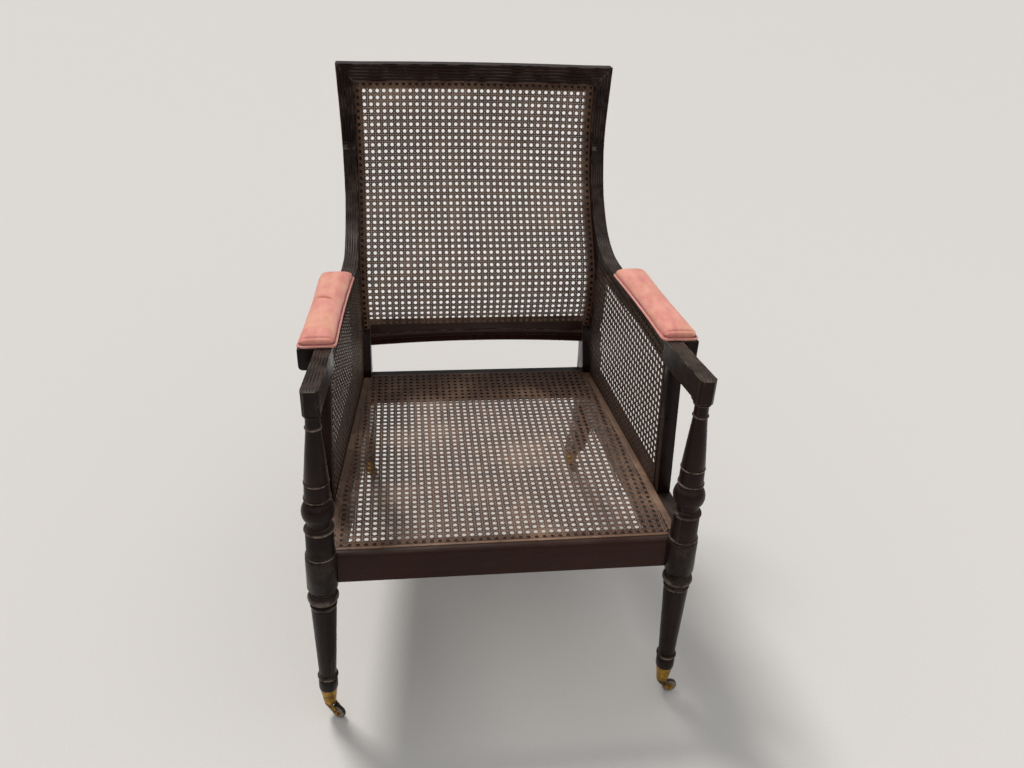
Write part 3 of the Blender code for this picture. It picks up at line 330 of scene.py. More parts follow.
def mix(tree, factor, a, b):
    return addNode(tree, "ShaderNodeMix", {0: factor, 6: a, 7: b}, data_type="RGBA").outputs[2]


def attributeOf(tree, name, output="Fac"):
    return addNode(tree, "ShaderNodeAttribute", attribute_name=name).outputs[output]


def splitOf(tree, vector):
    return addNode(tree, "ShaderNodeSeparateXYZ", {0: vector}).outputs


def stretched(tree, vector, scale):
    return addNode(tree, "ShaderNodeMapping", {"Vector": vector, "Scale": scale}).outputs["Vector"]


def facingOf(tree):
    return addNode(tree, "ShaderNodeNewGeometry").outputs["Normal"]


def feed(tree, shader, **sockets):
    for label, value in sockets.items():
        tree.links.new(value, shader.inputs[label.replace("_", " ")])


def srgb(red, green, blue):
    def linear(value):
        # From a screen value of 0 to 255 to linear light
        value /= 255
        return value / 12.92 if value <= 0.04045 else ((value + 0.055) / 1.055) ** 2.4
    return (linear(red), linear(green), linear(blue), 1.0)


def grainGroup():
    # Long streaks and short pores of a close grained dark wood; the vector runs slowly along the grain
    tree, inside, out = newGroup("closeGrain", [("Vector", "NodeSocketVector", None)],
                                 [("Streaks", "NodeSocketFloat"), ("Pores", "NodeSocketFloat")])
    streaks = noiseOf(tree, inside["Vector"], 85, 4, 0.6)
    tree.links.new(ramp(tree, streaks, 0.34, 0.68), out["Streaks"])
    tree.links.new(ramp(tree, noiseOf(tree, inside["Vector"], 620, 2, 0.5), 0.56, 0.70), out["Pores"])
    return tree


def rubGroup():
    # Edges that hands and years have rubbed, broken up by noise
    tree, inside, out = newGroup("rubbedEdges", [("Vector", "NodeSocketVector", None),
                                                 ("Radius", "NodeSocketFloat", 0.0015)],
                                 [("Mask", "NodeSocketFloat")])
    rounded = addNode(tree, "ShaderNodeBevel", {"Radius": inside["Radius"]}, samples=6).outputs["Normal"]
    alike = addNode(tree, "ShaderNodeVectorMath", {0: rounded, 1: facingOf(tree)}, operation="DOT_PRODUCT")
    edge = ramp(tree, alike.outputs["Value"], 0.992, 0.90)
    patches = ramp(tree, noiseOf(tree, inside["Vector"], 34, 4, 0.65), 0.42, 0.60)
    tree.links.new(calc(tree, "MULTIPLY", edge, patches), out["Mask"])
    return tree


def dustAndSheenGroup():
    # Grey dust and painted sheen on what faces up, in soft patches
    tree, inside, out = newGroup("settledDustAndSheen", [("Vector", "NodeSocketVector", None)],
                                 [("Mask", "NodeSocketFloat")])
    up = splitOf(tree, facingOf(tree))["Z"]
    patches = ramp(tree, noiseOf(tree, inside["Vector"], 16, 5, 0.6), 0.3, 0.72, 0.25, 1.0)
    tree.links.new(calc(tree, "MULTIPLY", ramp(tree, up, 0.25, 0.95), patches), out["Mask"])
    return tree


groups = {"grain": grainGroup(), "rub": rubGroup(), "dustAndSheen": dustAndSheenGroup()}


def placeGroup(tree, name, inputs):
    return addNode(tree, "ShaderNodeGroup", inputs, node_tree=groups[name]).outputs


def newLook(name, **constants):
    made = bpy.data.materials.new(name)
    made.use_nodes = True
    tree = made.node_tree
    shader = tree.nodes["Principled BSDF"]
    for label, value in constants.items():
        shader.inputs[label.replace("_", " ")].default_value = value
    return made, tree, shader, addNode(tree, "ShaderNodeTexCoord").outputs["Object"]


def addBump(tree, shader, height, distance, strength):
    bump = addNode(tree, "ShaderNodeBump", {"Height": height, "Distance": distance, "Strength": strength})
    feed(tree, shader, Normal=bump.outputs["Normal"])


woodLooks = {
    "ground": srgb(10, 5, 3), "streak": srgb(25, 13, 9), "pores": srgb(14, 8, 7), "red": srgb(58, 24, 14),
    # The dust colour is also a painted sheen on upward faces
    "rubbed": srgb(150, 132, 116), "dustAndSheen": srgb(78, 66, 56), "gloss": 0.24, "dull": 0.42,
    "dustDull": 0.35, "rubbing": 0.45, "rubRadius": 0.0022, "scuffs": 0.16, "grainLength": 0.06,
    "porePits": 0.25, "bump": 0.0006,
}


def woodLook(name, grainAlong, redness, dustAndSheenShare):
    # Nearly black stain over the grain, then red patches, dust with painted sheen on upward faces on top,
    # rubbed edges, crests and scuffs
    made, tree, shader, place = newLook(name, Specular_IOR_Level=0.15)
    scale = [1.0, 1.0, 1.0]
    scale["xyz".index(grainAlong)] = woodLooks["grainLength"]
    grainVector = stretched(tree, place, scale)
    grain = placeGroup(tree, "grain", {"Vector": grainVector})
    rub = placeGroup(tree, "rub", {"Vector": place, "Radius": woodLooks["rubRadius"]})
    dustAndSheen = placeGroup(tree, "dustAndSheen", {"Vector": place})
    colour = mix(tree, grain["Streaks"], woodLooks["ground"], woodLooks["streak"])
    patches = ramp(tree, noiseOf(tree, place, 7, 3), 0.35, 0.75, redness, min(1.0, redness + 0.2))
    colour = mix(tree, patches, colour, woodLooks["red"])
    colour = mix(tree, calc(tree, "MULTIPLY", grain["Pores"], 0.5), colour, woodLooks["pores"])
    # Upward faces go lighter and greyer: partly real dust, partly painted sheen
    dustAndSheenMask = calc(tree, "MULTIPLY", dustAndSheen["Mask"], dustAndSheenShare)
    colour = mix(tree, dustAndSheenMask, colour, woodLooks["dustAndSheen"])
    scuffs = ramp(tree, noiseOf(tree, grainVector, 110, 6, 0.72), 0.60, 0.74, 0.0, woodLooks["scuffs"])
    handled = ramp(tree, noiseOf(tree, place, 60, 5, 0.75), 0.40, 0.60, 0.1, 1.0)
    worn = calc(tree, "MULTIPLY", handled, attributeOf(tree, "crest"))
    edges = calc(tree, "MULTIPLY", rub["Mask"], woodLooks["rubbing"])
    rubbed = calc(tree, "MAXIMUM", edges, calc(tree, "MAXIMUM", worn, scuffs))
    colour = mix(tree, rubbed, colour, woodLooks["rubbed"])
    smudges = ramp(tree, noiseOf(tree, place, 22, 4), 0.3, 0.7, woodLooks["gloss"], woodLooks["dull"])
    rough = calc(tree, "ADD", smudges, calc(tree, "MULTIPLY", dustAndSheenMask, woodLooks["dustDull"]))
    feed(tree, shader, Base_Color=colour, Roughness=rough)
    pits = calc(tree, "MULTIPLY", grain["Pores"], woodLooks["porePits"])
    addBump(tree, shader, calc(tree, "SUBTRACT", noiseOf(tree, place, 45, 3), pits), woodLooks["bump"], 0.5)
    return made


caneLooks = {
    "deep": srgb(60, 40, 29), "body": srgb(108, 77, 56), "worn": srgb(146, 114, 88),
    # The side colour darkens the side panels for dirt and for painted shade
    "grime": srgb(52, 36, 28), "binder": srgb(112, 70, 50), "side": srgb(86, 62, 44),
    "fibres": (18.0, 5.0, 90.0), "bump": 0.0002,
}


def caneLook(name, lighter=0.0, body=caneLooks["body"]):
    # The strand attribute holds the way along a strand, the place across it, and a tone of its own
    made, tree, shader, place = newLook(name, Specular_IOR_Level=0.4)
    strand = attributeOf(tree, "strand", "Vector")
    fibres = noiseOf(tree, stretched(tree, strand, caneLooks["fibres"]), 1.6, 4, 0.6)
    tone = calc(tree, "ADD", splitOf(tree, strand)["Z"], ramp(tree, fibres, 0.3, 0.7), clamp=False)
    colour = mix(tree, ramp(tree, tone, 0.35, 1.55), caneLooks["deep"], body)
    worn = ramp(tree, noiseOf(tree, place, 9, 5, 0.6), 0.46, 0.74, lighter, min(1.0, lighter + 0.75))
    colour = mix(tree, worn, colour, caneLooks["worn"])
    grime = ramp(tree, noiseOf(tree, place, 130, 3), 0.52, 0.75, 0.0, 0.7)
    colour = mix(tree, grime, colour, caneLooks["grime"])
    feed(tree, shader, Base_Color=colour, Roughness=ramp(tree, fibres, 0.3, 0.7, 0.42, 0.68))
    addBump(tree, shader, fibres, caneLooks["bump"], 0.6)
    return made


velvetLooks = {
    "deep": srgb(212, 134, 120), "body": srgb(234, 162, 144), "faded": srgb(230, 174, 138),
    # The crease colour is painted shade in the crease of the left pad
    # The line colour is painted shade in the seam between pad and piping
    "piping": srgb(238, 174, 164), "line": srgb(112, 30, 58), "creaseShade": srgb(168, 92, 50),
    "sheen": srgb(255, 214, 204), "brushing": (2.2, 0.7, 1.0), "pile": 900, "bump": 0.0004,
}


def velvetLook(name, body, faded, fade):
    # A brushed pile that has faded in spots; the attribute of the crease marks where painted shade darkens
    # the crease of the left pad
    made, tree, shader, place = newLook(name, Sheen_Weight=0.45, Sheen_Roughness=0.45, Roughness=0.9,
                                        Specular_IOR_Level=0.2, Sheen_Tint=velvetLooks["sheen"])
    pile = noiseOf(tree, place, velvetLooks["pile"], 3, 0.6)
    brushed = noiseOf(tree, stretched(tree, place, velvetLooks["brushing"]), 26, 4, 0.55)
    brushed = ramp(tree, brushed, 0.32, 0.7)
    colour = mix(tree, brushed, velvetLooks["deep"], body)
    spots = ramp(tree, noiseOf(tree, place, 17, 5, 0.62), 0.42, 0.68, 0.0, fade)
    colour = mix(tree, spots, colour, faded)
    colour = mix(tree, ramp(tree, pile, 0.35, 0.7, 0.0, 0.22), colour, velvetLooks["deep"])
    # Painted shade in the crease of the left pad
    colour = mix(tree, attributeOf(tree, "creaseShade"), colour, velvetLooks["creaseShade"])
    feed(tree, shader, Base_Color=colour, Roughness=ramp(tree, brushed, 0.0, 1.0, 0.95, 0.78))
    addBump(tree, shader, pile, velvetLooks["bump"], 0.5)
    return made


brassLooks = {
    "bright": srgb(196, 150, 52), "dull": srgb(122, 92, 40), "dirt": srgb(46, 34, 24), "rubRadius": 0.0010,
    "bump": 0.0003,
}


def brassLook(name, dirt):
    made, tree, shader, place = newLook(name, Metallic=1.0)
    rub = placeGroup(tree, "rub", {"Vector": place, "Radius": brassLooks["rubRadius"]})
    cloud = noiseOf(tree, place, 70, 5, 0.6)
    colour = mix(tree, ramp(tree, cloud, 0.35, 0.65), brassLooks["dull"], brassLooks["bright"])
    grime = ramp(tree, noiseOf(tree, place, 150, 4, 0.65), 0.62 - dirt * 0.3, 0.80 - dirt * 0.25)
    colour = mix(tree, grime, colour, brassLooks["dirt"])
    colour = mix(tree, calc(tree, "MULTIPLY", rub["Mask"], 0.7), colour, brassLooks["bright"])
    metal = calc(tree, "SUBTRACT", 1.0, calc(tree, "MULTIPLY", grime, 0.85))
    feed(tree, shader, Base_Color=colour, Metallic=metal, Roughness=ramp(tree, grime, 0.0, 1.0, 0.34, 0.75))
    addBump(tree, shader, cloud, brassLooks["bump"], 0.5)
    return made


wheelLooks = {"side": srgb(150, 142, 130), "tread": srgb(38, 34, 30), "bump": 0.0004}


def wheelLook(name):
    made, tree, shader, place = newLook(name, Specular_IOR_Level=0.4)
    spots = noiseOf(tree, place, 260, 5, 0.65)
    colour = mix(tree, ramp(tree, spots, 0.35, 0.7), wheelLooks["side"], brassLooks["dull"])
    colour = mix(tree, ramp(tree, attributeOf(tree, "tread"), 0.25, 0.75), colour, wheelLooks["tread"])
    feed(tree, shader, Base_Color=colour, Roughness=ramp(tree, spots, 0.3, 0.7, 0.45, 0.8))
    addBump(tree, shader, spots, wheelLooks["bump"], 0.6)
    return made


looks = {
    # The last number is how much dust and painted sheen each wood gets on its upward faces
    "upright": woodLook("woodUpright", "z", 0.05, 0.5),
    "across": woodLook("woodAcross", "x", 0.12, 0.3),
    "frontRail": woodLook("woodFrontRail", "x", 0.50, 0.55),
    "deep": woodLook("woodAlongSide", "y", 0.05, 0.6),
    "cane": caneLook("wovenCane"), "border": caneLook("caneBorder", 0.12),
    "binder": caneLook("caneBinder", -0.3, caneLooks["binder"]),
    # A darker copy of the cane for the side panels: dirt and painted shade
    "shadedCane": caneLook("caneSide", -0.3, caneLooks["side"]),
    "velvet": velvetLook("padVelvet", velvetLooks["body"], velvetLooks["faded"], 0.8),
    "piping": velvetLook("pipingVelvet", velvetLooks["piping"], velvetLooks["faded"], 0.4),
    # A dark cord of painted shade for the crevice between pad and piping
    "seamShade": velvetLook("seamShadeLine", velvetLooks["line"], velvetLooks["line"], 0.2),
    "brass": brassLook("agedBrass", 0.35), "horn": brassLook("dirtyBrass", 0.8),
    "wheel": wheelLook("wornWheel"),
}
print("materials made")

# Back legs and stiles
def stileLines():
    # Front, step for the cane and rear of a stile, which run on down the back leg
    caned = extendedBackLine()
    caned.append(Vector((depthAt(caned, lowRail["step"]), lowRail["step"])))
    strip = back["cane"] / 2 + seat["fit"]
    front, step, rear = (offsetLine(caned, by) for by in (-back["proud"], strip, back["set"]))
    near = legLine + seat["holesRear"]
    for number, line in ((0, front), (1, rear)):
        line += smoothLine([(near + back["swell"] * shares[number], lowRail["bottom"] * shares[2])
                            for shares in back["legShares"]], 2)
    half = back["footSize"] / 2
    front.append(Vector((legLine + back["footY"] - half, back["footTop"])))
    rear.append(Vector((legLine + back["footY"] + half, back["footTop"])))
    return front, step + front[len(step):], rear


def stileOuter(z):
    if z > back["widenFrom"]:
        share = (z - back["widenFrom"]) / (back["height"] - back["widenFrom"])
        return back["outLow"] + (back["outTop"] - back["outLow"]) * share
    return narrowed(z, back["outLow"], back["footX"] + back["footSize"] / 2)


def stileInner(z):
    return narrowed(z, back["stileIn"], back["footX"] - back["footSize"] / 2)


def narrowed(z, above, atFoot):
    low = seat["top"] - seat["depth"]
    return above + (atFoot - above) * max(0, (low - z) / (low - back["footTop"]))


def mitrePlane(side, gap):
    # Where a stile and the top rail meet; the gap moves the plane up
    point = Vector((mirrored(side, back["outTop"]), 0, back["height"] + gap))
    run = Vector((mirrored(side, back["outTop"] - back["stileIn"]), 0, topRail["depth"]))
    return point, Vector((mirrored(side, run.z), 0, -abs(run.x)))


def makeStile(side):
    rings = []
    for front, step, rear in zip(*stileLines()):
        def at(x, point):
            return Vector((mirrored(side, x), point.x, point.y))
        inward = at(0, step) - at(0, front)
        inward *= reeding["groove"] / max(inward.length, back["proud"])
        band = reeds(at(back["bandIn"], front), at(stileOuter(front.y), front), inward)
        inner = at(stileInner(step.y), step)
        corners = [band[-1], at(stileOuter(rear.y), rear), at(stileInner(rear.y), rear), inner]
        rings.append([inner, at(back["bandIn"], step)] + band
                     + easedCorners(corners, (0, *back["eases"], 0))[1:-1])
    shape = sweep(rings)
    point, normal = mitrePlane(side, -seat["fit"] / 2)
    cutAway(shape, point, -normal)
    addPiece(f"stile_{side}", shape, looks["upright"], stands=[f"back_stile_{side}"],
             smooth=reeding["smooth"])


def makeTopRail():
    line = extendedBackLine()
    lean = (line[0] - line[1]).normalized()
    slope = lean.x / lean.y
    strip = back["cane"] / 2 + seat["fit"]

    def at(x, behind, drop):
        bowed = line[0].x - slope * drop + behind + back["bow"] * bowAt(x)
        return Vector((x, bowed, back["height"] - drop))
    depth, bandDepth, steps = (topRail[key] for key in ("depth", "bandDepth", "steps"))
    inward = Vector((0, reeding["groove"], 0))
    rings = []
    for k in range(-steps, steps + 1):
        x = topRail["reach"] * k / steps
        band = reeds(at(x, -back["proud"], 0), at(x, -back["proud"], bandDepth), inward)
        corners = [at(x, strip, depth), at(x, back["set"], depth), at(x, back["set"], 0), band[0]]
        eased = easedCorners(corners, (0, *topRail["eases"], 0))
        rings.append(band + [at(x, strip, bandDepth)] + eased[:-1])
    shape = sweep(rings)
    for side in bothSides:
        point, normal = mitrePlane(side, seat["fit"] / 2)
        cutAway(shape, point, normal)
    addPiece("topRail", shape, looks["across"], stands=["top_rail"], smooth=reeding["smooth"])


def makeLowerRail():
    # The step, the bead and the underside arch up in the middle; the top and the rear stay straight
    line = offsetLine(extendedBackLine(), back["cane"] / 2 + seat["fit"])
    face, rear = legLine + lowRail["face"], legLine + lowRail["back"]
    top, bottom, bead, ease, steps = (lowRail[key] for key in ("top", "bottom", "bead", "ease", "steps"))
    arched = [(face, lowRail["step"])]
    for k in range(-6, 7):
        angle = math.radians(15 * k)
        arched.append((face - bead * math.cos(angle), lowRail["beadHeight"] - bead * math.sin(angle)))
    arched += [(face, lowRail["beadHeight"] - bead - lowRail["quirk"]), (face, bottom + lowRail["faceEase"]),
               (face + lowRail["faceEase"], bottom), (rear - ease, bottom)]
    straight = [(rear, bottom + ease), (rear, top - ease), (rear - ease, top)]
    edge = back["stileIn"] - seat["fit"]
    rings = []
    for k in range(-steps, steps + 1):
        x = edge * k / steps
        lift = lowRail["arch"] * bowAt(x)
        rings.append([Vector((x, depthAt(line, top), top))] + [Vector((x, y, z + lift)) for y, z in arched]
                     + [Vector((x, y, z)) for y, z in straight])
    addPiece("lowerRail", sweep(rings), looks["frontRail"], stands=["lower_back_rail"],
             smooth=reeding["smooth"])


for side in bothSides:
    makeStile(side)
makeTopRail()
makeLowerRail()
print("back frame made")

# Seat frame
legs = {
    "footX": 0.2930, "splay": 0.0274, "cupTop": 0.0680, "drum": 0.0240, "sides": 56,
    # The turning from the top down: points as radius and height, and rings with their half height, and
    # where a ring isn't round, how deep it falls off, its steps and how far it turns
    "turning": (
        (0.0137, 0.6117), (0.01338, 0.6101), (0.0105, 0.6085), (0.0125, 0.5900, 0.0016), (0.0108, 0.5868),
        (0.0145, 0.5450), (0.0182, 0.5002), (0.0193, 0.4970, 0.0016), (0.0184, 0.4935), (0.0191, 0.4722),
        (0.0207, 0.4690, 0.0016), (0.0176, 0.4655), (0.0168, 0.4630),
        (0.0249, 0.4445, 0.0165, 0.009462, 10, 72), (0.0168, 0.4185), (0.0168, 0.4172),
        (0.0233, 0.4110, 0.0032), (0.0213, 0.4046), (0.0213, 0.3652), (0.0236, 0.3620, 0.0016),
        (0.0234, 0.3590), (0.0240, 0.3550), (0.0240, 0.2970), (0.0226, 0.2938), (0.0188, 0.2890),
        (0.0168, 0.2862), (0.0246, 0.2750, 0.0080, 0.0080, 8, 75), (0.0214, 0.2590, 0.0032),
        (0.0196, 0.2548), (0.0200, 0.2480), (0.0142, 0.1034), (0.0172, 0.0970, 0.0032), (0.0153, 0.0915),
        (0.0158, 0.0860), (0.0158, 0.0705), (0.0152, 0.0683), (0.0133, 0.0683), (0.0105, 0.0430),
    ),
    # Worn crests: height, half height and how far the colour has gone
    "crests": ((0.5900, 0.0013, 0.8), (0.4970, 0.0013, 0.8), (0.4690, 0.0013, 0.7), (0.4110, 0.0026, 0.6),
               (0.3620, 0.0013, 0.8), (0.3420, 0.0300, 0.10), (0.2750, 0.0060, 0.45), (0.2590, 0.0022, 0.45),
               (0.0970, 0.0024, 0.7)),
}


def legAxis(z):
    return legs["footX"] - legs["splay"] * max(z, legs["cupTop"])


def makeSeatRails():
    top, low = seat["top"], seat["top"] - seat["depth"]
    face, rear = legLine + seat["frontFace"], legLine + seat["frontBack"]
    corners = [Vector((0, y, z)) for y, z in ((face, low), (face, top), (rear, top), (rear, low))]
    eases = (seat["frontEase"], seat["frontRound"], seat["rearEase"], seat["rearEase"])
    outline = easedCorners(corners, eases, 5)
    reach = legs["footX"] - legs["drum"] + seat["intoLeg"]
    rings = [[point + Vector((reach * k / 8, 0, 0)) for point in outline] for k in range(-8, 9)]
    addPiece("frontRail", sweep(rings), looks["frontRail"], stands=["front_seat_rail"])
    edge = back["stileIn"] - seat["fit"]
    shape = block((-edge, legLine + seat["rearFace"], low), (edge, legLine + seat["rearBack"], top))
    soften(shape, seat["rearEase"])
    addPiece("rearRail", shape, looks["across"], stands=["rear_seat_rail"])
    for side in bothSides:
        ends = (legLine + seat["sideFront"], legLine + seat["holesRear"] - seat["fit"])
        inner = seat["halfRear"] - seat["holeMargin"]
        shape = block((0, ends[0], low), (1, ends[1], top))
        for vert in shape.verts:
            vert.co.x = mirrored(side, splayed(inner + seat["sideWidth"] * vert.co.x, vert.co.y))
        soften(faceOut(shape), seat["sideEase"], 3)
        addPiece(f"sideRail_{side}", shape, looks["deep"], stands=[f"side_seat_rail_{side}"])


makeSeatRails()

# Turned front legs
def swelling(radius, height, half, depth=None, steps=6, reach=90):
    turns = [math.radians(reach * k / steps) for k in range(-steps, steps + 1)]
    return [(radius - (depth or half) * (1 - math.cos(turn)), height - half * math.sin(turn))
            for turn in turns]


def legProfile():
    points = []
    for row in legs["turning"]:
        points += swelling(*row) if len(row) > 2 else [row]
    return points


def makeLeg(side):
    shape = turned(legProfile(), legs["sides"])
    crest = shape.verts.layers.float.new("crest")
    for vert in shape.verts:
        for height, half, share in legs["crests"]:
            vert[crest] = max(vert[crest], share * (1 - ((vert.co.z - height) / half) ** 2))
        vert.co += Vector((mirrored(side, legAxis(vert.co.z)), legLine, 0))
    addPiece(f"leg_{side}", shape, looks["upright"], stands=[f"front_leg_{side}"], smooth=40)


for side in bothSides:
    makeLeg(side)
print("seat frame and legs made")

# Arms, from the sweep on the stile to the block over the leg
arm = {
    "width": 0.0250, "depth": 0.0380, "rear": 0.5150, "tipX": 0.2770, "tip": -0.0130, "tipTop": 0.6550,
    "tipDepth": 0.0430, "chamfer": 0.0045, "tipEases": (0.0022, 0.0015), "reach": 0.2750, "groove": 0.0012,
    "fade": 0.0040, "leastShare": 0.004, "ease": 0.0025, "lip": 0.0070, "behindCane": 0.0012,
    # Down the sweep from the stile to the pad, as shares of its reach and its climb
    "shares": ((1.000, 0.610), (0.985, 0.554), (0.956, 0.498), (0.892, 0.387), (0.810, 0.275),
               (0.700, 0.168), (0.600, 0.096), (0.490, 0.048), (0.350, 0.015), (0.180, 0.000)),
}
board = {"depth": 0.0360, "eases": (0, 0.001, 0.008, 0.0006), "edge": 0.001}
post = {"front": 0.1170, "back": 0.1420, "inner": 0.2720, "outer": 0.2945, "lean": 0.0120, "ease": 0.0014}
sideCane = {"inner": 0.2355, "thick": 0.0016, "front": 0.1395, "rear": 0.549}
pad = {
    "front": 0.1320, "rear": 0.4290, "inFront": 0.2490, "inRear": 0.2350, "outFront": 0.3090,
    "outRear": 0.2975, "draw": 0.0020, "corner": 0.0100, "piping": 0.0024, "rearTop": 0.6240,
    "frontTop": 0.6405,
}


def armTopLine():
    # The sweep from the stile, then straight on to the block over the leg
    rear, climb = legLine + pad["rear"], back["top"] - pad["rearTop"]
    points = [(rear + arm["reach"] * depth, pad["rearTop"] + climb * rise) for depth, rise in arm["shares"]]
    line = smoothLine(points + [(rear, pad["rearTop"])], 4)
    front = Vector((legLine + pad["front"], pad["frontTop"]))
    line += [line[-1].lerp(front, k / 4) for k in range(1, 5)]
    return line + [Vector((legLine + arm["tip"], arm["tipTop"]))]


def armOuter(y, z):
    share = (legLine + arm["rear"] - y) / (arm["rear"] - arm["tip"])
    return stileOuter(z) + (arm["tipX"] + arm["width"] / 2 - back["outLow"]) * max(0, share)


def leanAt(y, z):
    # How far the post and the side cane lean in, which fades to nothing at the stile
    under = heightAt(armTopLine(), legLine + post["back"]) - arm["depth"]
    along = (legLine + seat["holesRear"] - y) / (seat["holesRear"] - post["back"])
    return post["lean"] * (z - seat["top"]) / (under - seat["top"]) * min(1, max(0, along))


def sideCaneX(y, z):
    return splayed(sideCane["inner"] + sideCane["thick"] / 2, y) - leanAt(y, z)


def lipLevel(y):
    # Upper edge of the rebate that takes the side cane, which runs straight on to the stile
    fall = (pad["frontTop"] - pad["rearTop"]) / (pad["rear"] - pad["front"])
    return pad["frontTop"] - arm["lip"] - fall * (y - legLine - pad["front"])


def armStations():
    # Pairs of a top point and the point under it
    top = armTopLine()
    contact = offsetLine(stileLines()[0], -seat["fit"])
    rear = legLine + pad["rear"]
    stations = []
    for point, drop in zip(top, offsetLine(top, arm["depth"])):
        if point.x <= rear:
            break
        share = 1.0
        while share > 0 and point.lerp(drop, share).x > depthAt(contact, point.lerp(drop, share).y):
            share -= 0.02
        stations.append((point, point.lerp(drop, max(arm["leastShare"], share))))
    tip, blockRear = legLine + arm["tip"], legLine - arm["tip"]
    blockLow = arm["tipTop"] - arm["tipDepth"]
    behindPost = legLine + post["back"]
    straight = [(rear, None), ((rear + behindPost) / 2, None), (behindPost + seat["fit"], None),
                (behindPost, None), (legLine + pad["front"], None), (blockRear + seat["fit"], None),
                (blockRear, blockLow), (legLine, blockLow), (tip + arm["chamfer"], blockLow)]
    for y, low in straight:
        level = heightAt(top, y)
        stations.append((Vector((y, level)), Vector((y, level - arm["depth"] if low is None else low))))
    above, below = arm["tipEases"]
    stations.append((Vector((tip, arm["tipTop"] - above)), Vector((tip, blockLow + below))))
    return stations


def makeArm(side):
    rings = []
    stations = armStations()
    for number, (top, under) in enumerate(stations):
        narrow = arm["chamfer"] if number == len(stations) - 1 else 0
        length = (top - under).length
        share = 1.0
        if top.x > legLine + post["back"] + seat["fit"] / 2 and top.y > under.y:
            share = min(1, max(0.1, (top.y - lipLevel(top.x)) / (top.y - under.y)))
        lip = top.lerp(under, share)

        def at(point, way, sunk=False):
            outer = armOuter(point.x, point.y)
            x = outer - narrow if way > 0 else outer - arm["width"] + narrow
            if sunk and share < 1:
                x = sideCaneX(point.x, point.y) + arm["behindCane"]
            return Vector((mirrored(side, x), point.x, point.y))
        inward = at(under, 1) - at(top, 1)
        grooved = 0 if narrow else min(1, length / arm["fade"])
        inward *= arm["groove"] * grooved / max(inward.length, 0.001)
        band = reeds(at(top, -1), at(top, 1), inward)
        ease = min(arm["ease"], length * 0.3)
        corners = [band[-1], at(under, 1), at(under, -1, True), at(lip, -1, True), at(lip, -1), band[0]]
        rings.append(band + easedCorners(corners, (0, ease, ease / 3, 0, 0, 0))[1:-1])
    addPiece(f"arm_{side}", sweep(rings), looks["deep"], stands=[f"arm_{side}"],
             smooth=reeding["smooth"])


def padEdge(y, front, rear):
    return front + (rear - front) * (y - legLine - pad["front"]) / (pad["rear"] - pad["front"])


def makeBoard(side):
    top = armTopLine()
    rings = []
    for k in range(5):
        y = legLine + pad["front"] + (pad["rear"] - pad["front"]) * k / 4
        level = heightAt(top, y)
        inner = armOuter(y, level) + seat["fit"]
        outer = padEdge(y, pad["outFront"], pad["outRear"]) - pad["piping"] / 2
        low = level - board["depth"]
        corners = [Vector((mirrored(side, x), y, z)) for x, z in
                   ((inner, level), (outer, level), (outer, low), (inner, low))]
        rings.append(easedCorners(corners, board["eases"], 4))
    shape = soften(sweep(rings), board["edge"], 2, 60)
    addPiece(f"board_{side}", shape, looks["deep"], stands=[f"arm_board_{side}"])


def makePost(side):
    # A block whose upper end is brought down to the arm and leans in
    top = armTopLine()
    shape = block((post["inner"], legLine + post["front"], seat["top"] + seat["fit"]),
                  (post["outer"], legLine + post["back"], back["height"]))
    for vert in shape.verts:
        if vert.co.z > back["top"]:
            vert.co.z = heightAt(top, vert.co.y) - arm["depth"] - seat["fit"]
        vert.co.x = mirrored(side, vert.co.x - leanAt(vert.co.y, vert.co.z))
    soften(faceOut(shape), post["ease"], 3)
    addPiece(f"post_{side}", shape, looks["upright"], stands=[f"side_post_{side}"])


for side in bothSides:
    makeArm(side)
    makeBoard(side)
    makePost(side)
print("arms made")

# Woven cane
weave = {
    "pitch": 0.0127, "width": 0.0025, "pair": 0.00175, "thick": 0.0005, "rise": 0.00027,
    "diagonalRise": 0.00055, "flat": 0.55, "reach": 0.0032, "off": 0.0001, "smooth": 60,
    "backColumns": (-19, 19), "seatColumns": (-22, 22),
}
tones = random.Random(7)


def baseStrand(shape, layer, stations):
    # One strand along X: a low bar with a narrower top, extruded from station to station
    half, thick = weave["width"] / 2, weave["thick"] / 2
    flat = half * weave["flat"]
    section = ((-half, -thick), (half, -thick), (flat, thick), (-flat, thick))
    drawOut(shape, [[(along, y, z + rise) for y, z in section] for along, rise in stations])
    for vert in shape.verts:
        vert[layer] = (vert.co.x, vert.co.y / half, 0)


def addStrands(panel, stations, places):
    # Copies of one strand, each moved to its place and given a tone of its own
    shape = bmesh.new()
    layer = shape.verts.layers.float_vector.new("strand")
    baseStrand(shape, layer, stations)
    pattern, first = allOf(shape), shape.verts[:]
    for number, matrix in enumerate(places):
        verts = kindOf(bmesh.types.BMVert, bmesh.ops.duplicate(shape, geom=pattern))
        bmesh.ops.transform(shape, matrix=matrix, verts=verts)
        tone = tones.random()
        for vert in verts:
            vert[layer] = (vert[layer].x + number * 0.37, vert[layer].y, tone)
    bmesh.ops.delete(shape, geom=first, context="VERTS")
    mesh = meshOf("strands", shape)
    panel.from_mesh(mesh)
    bpy.data.meshes.remove(mesh)


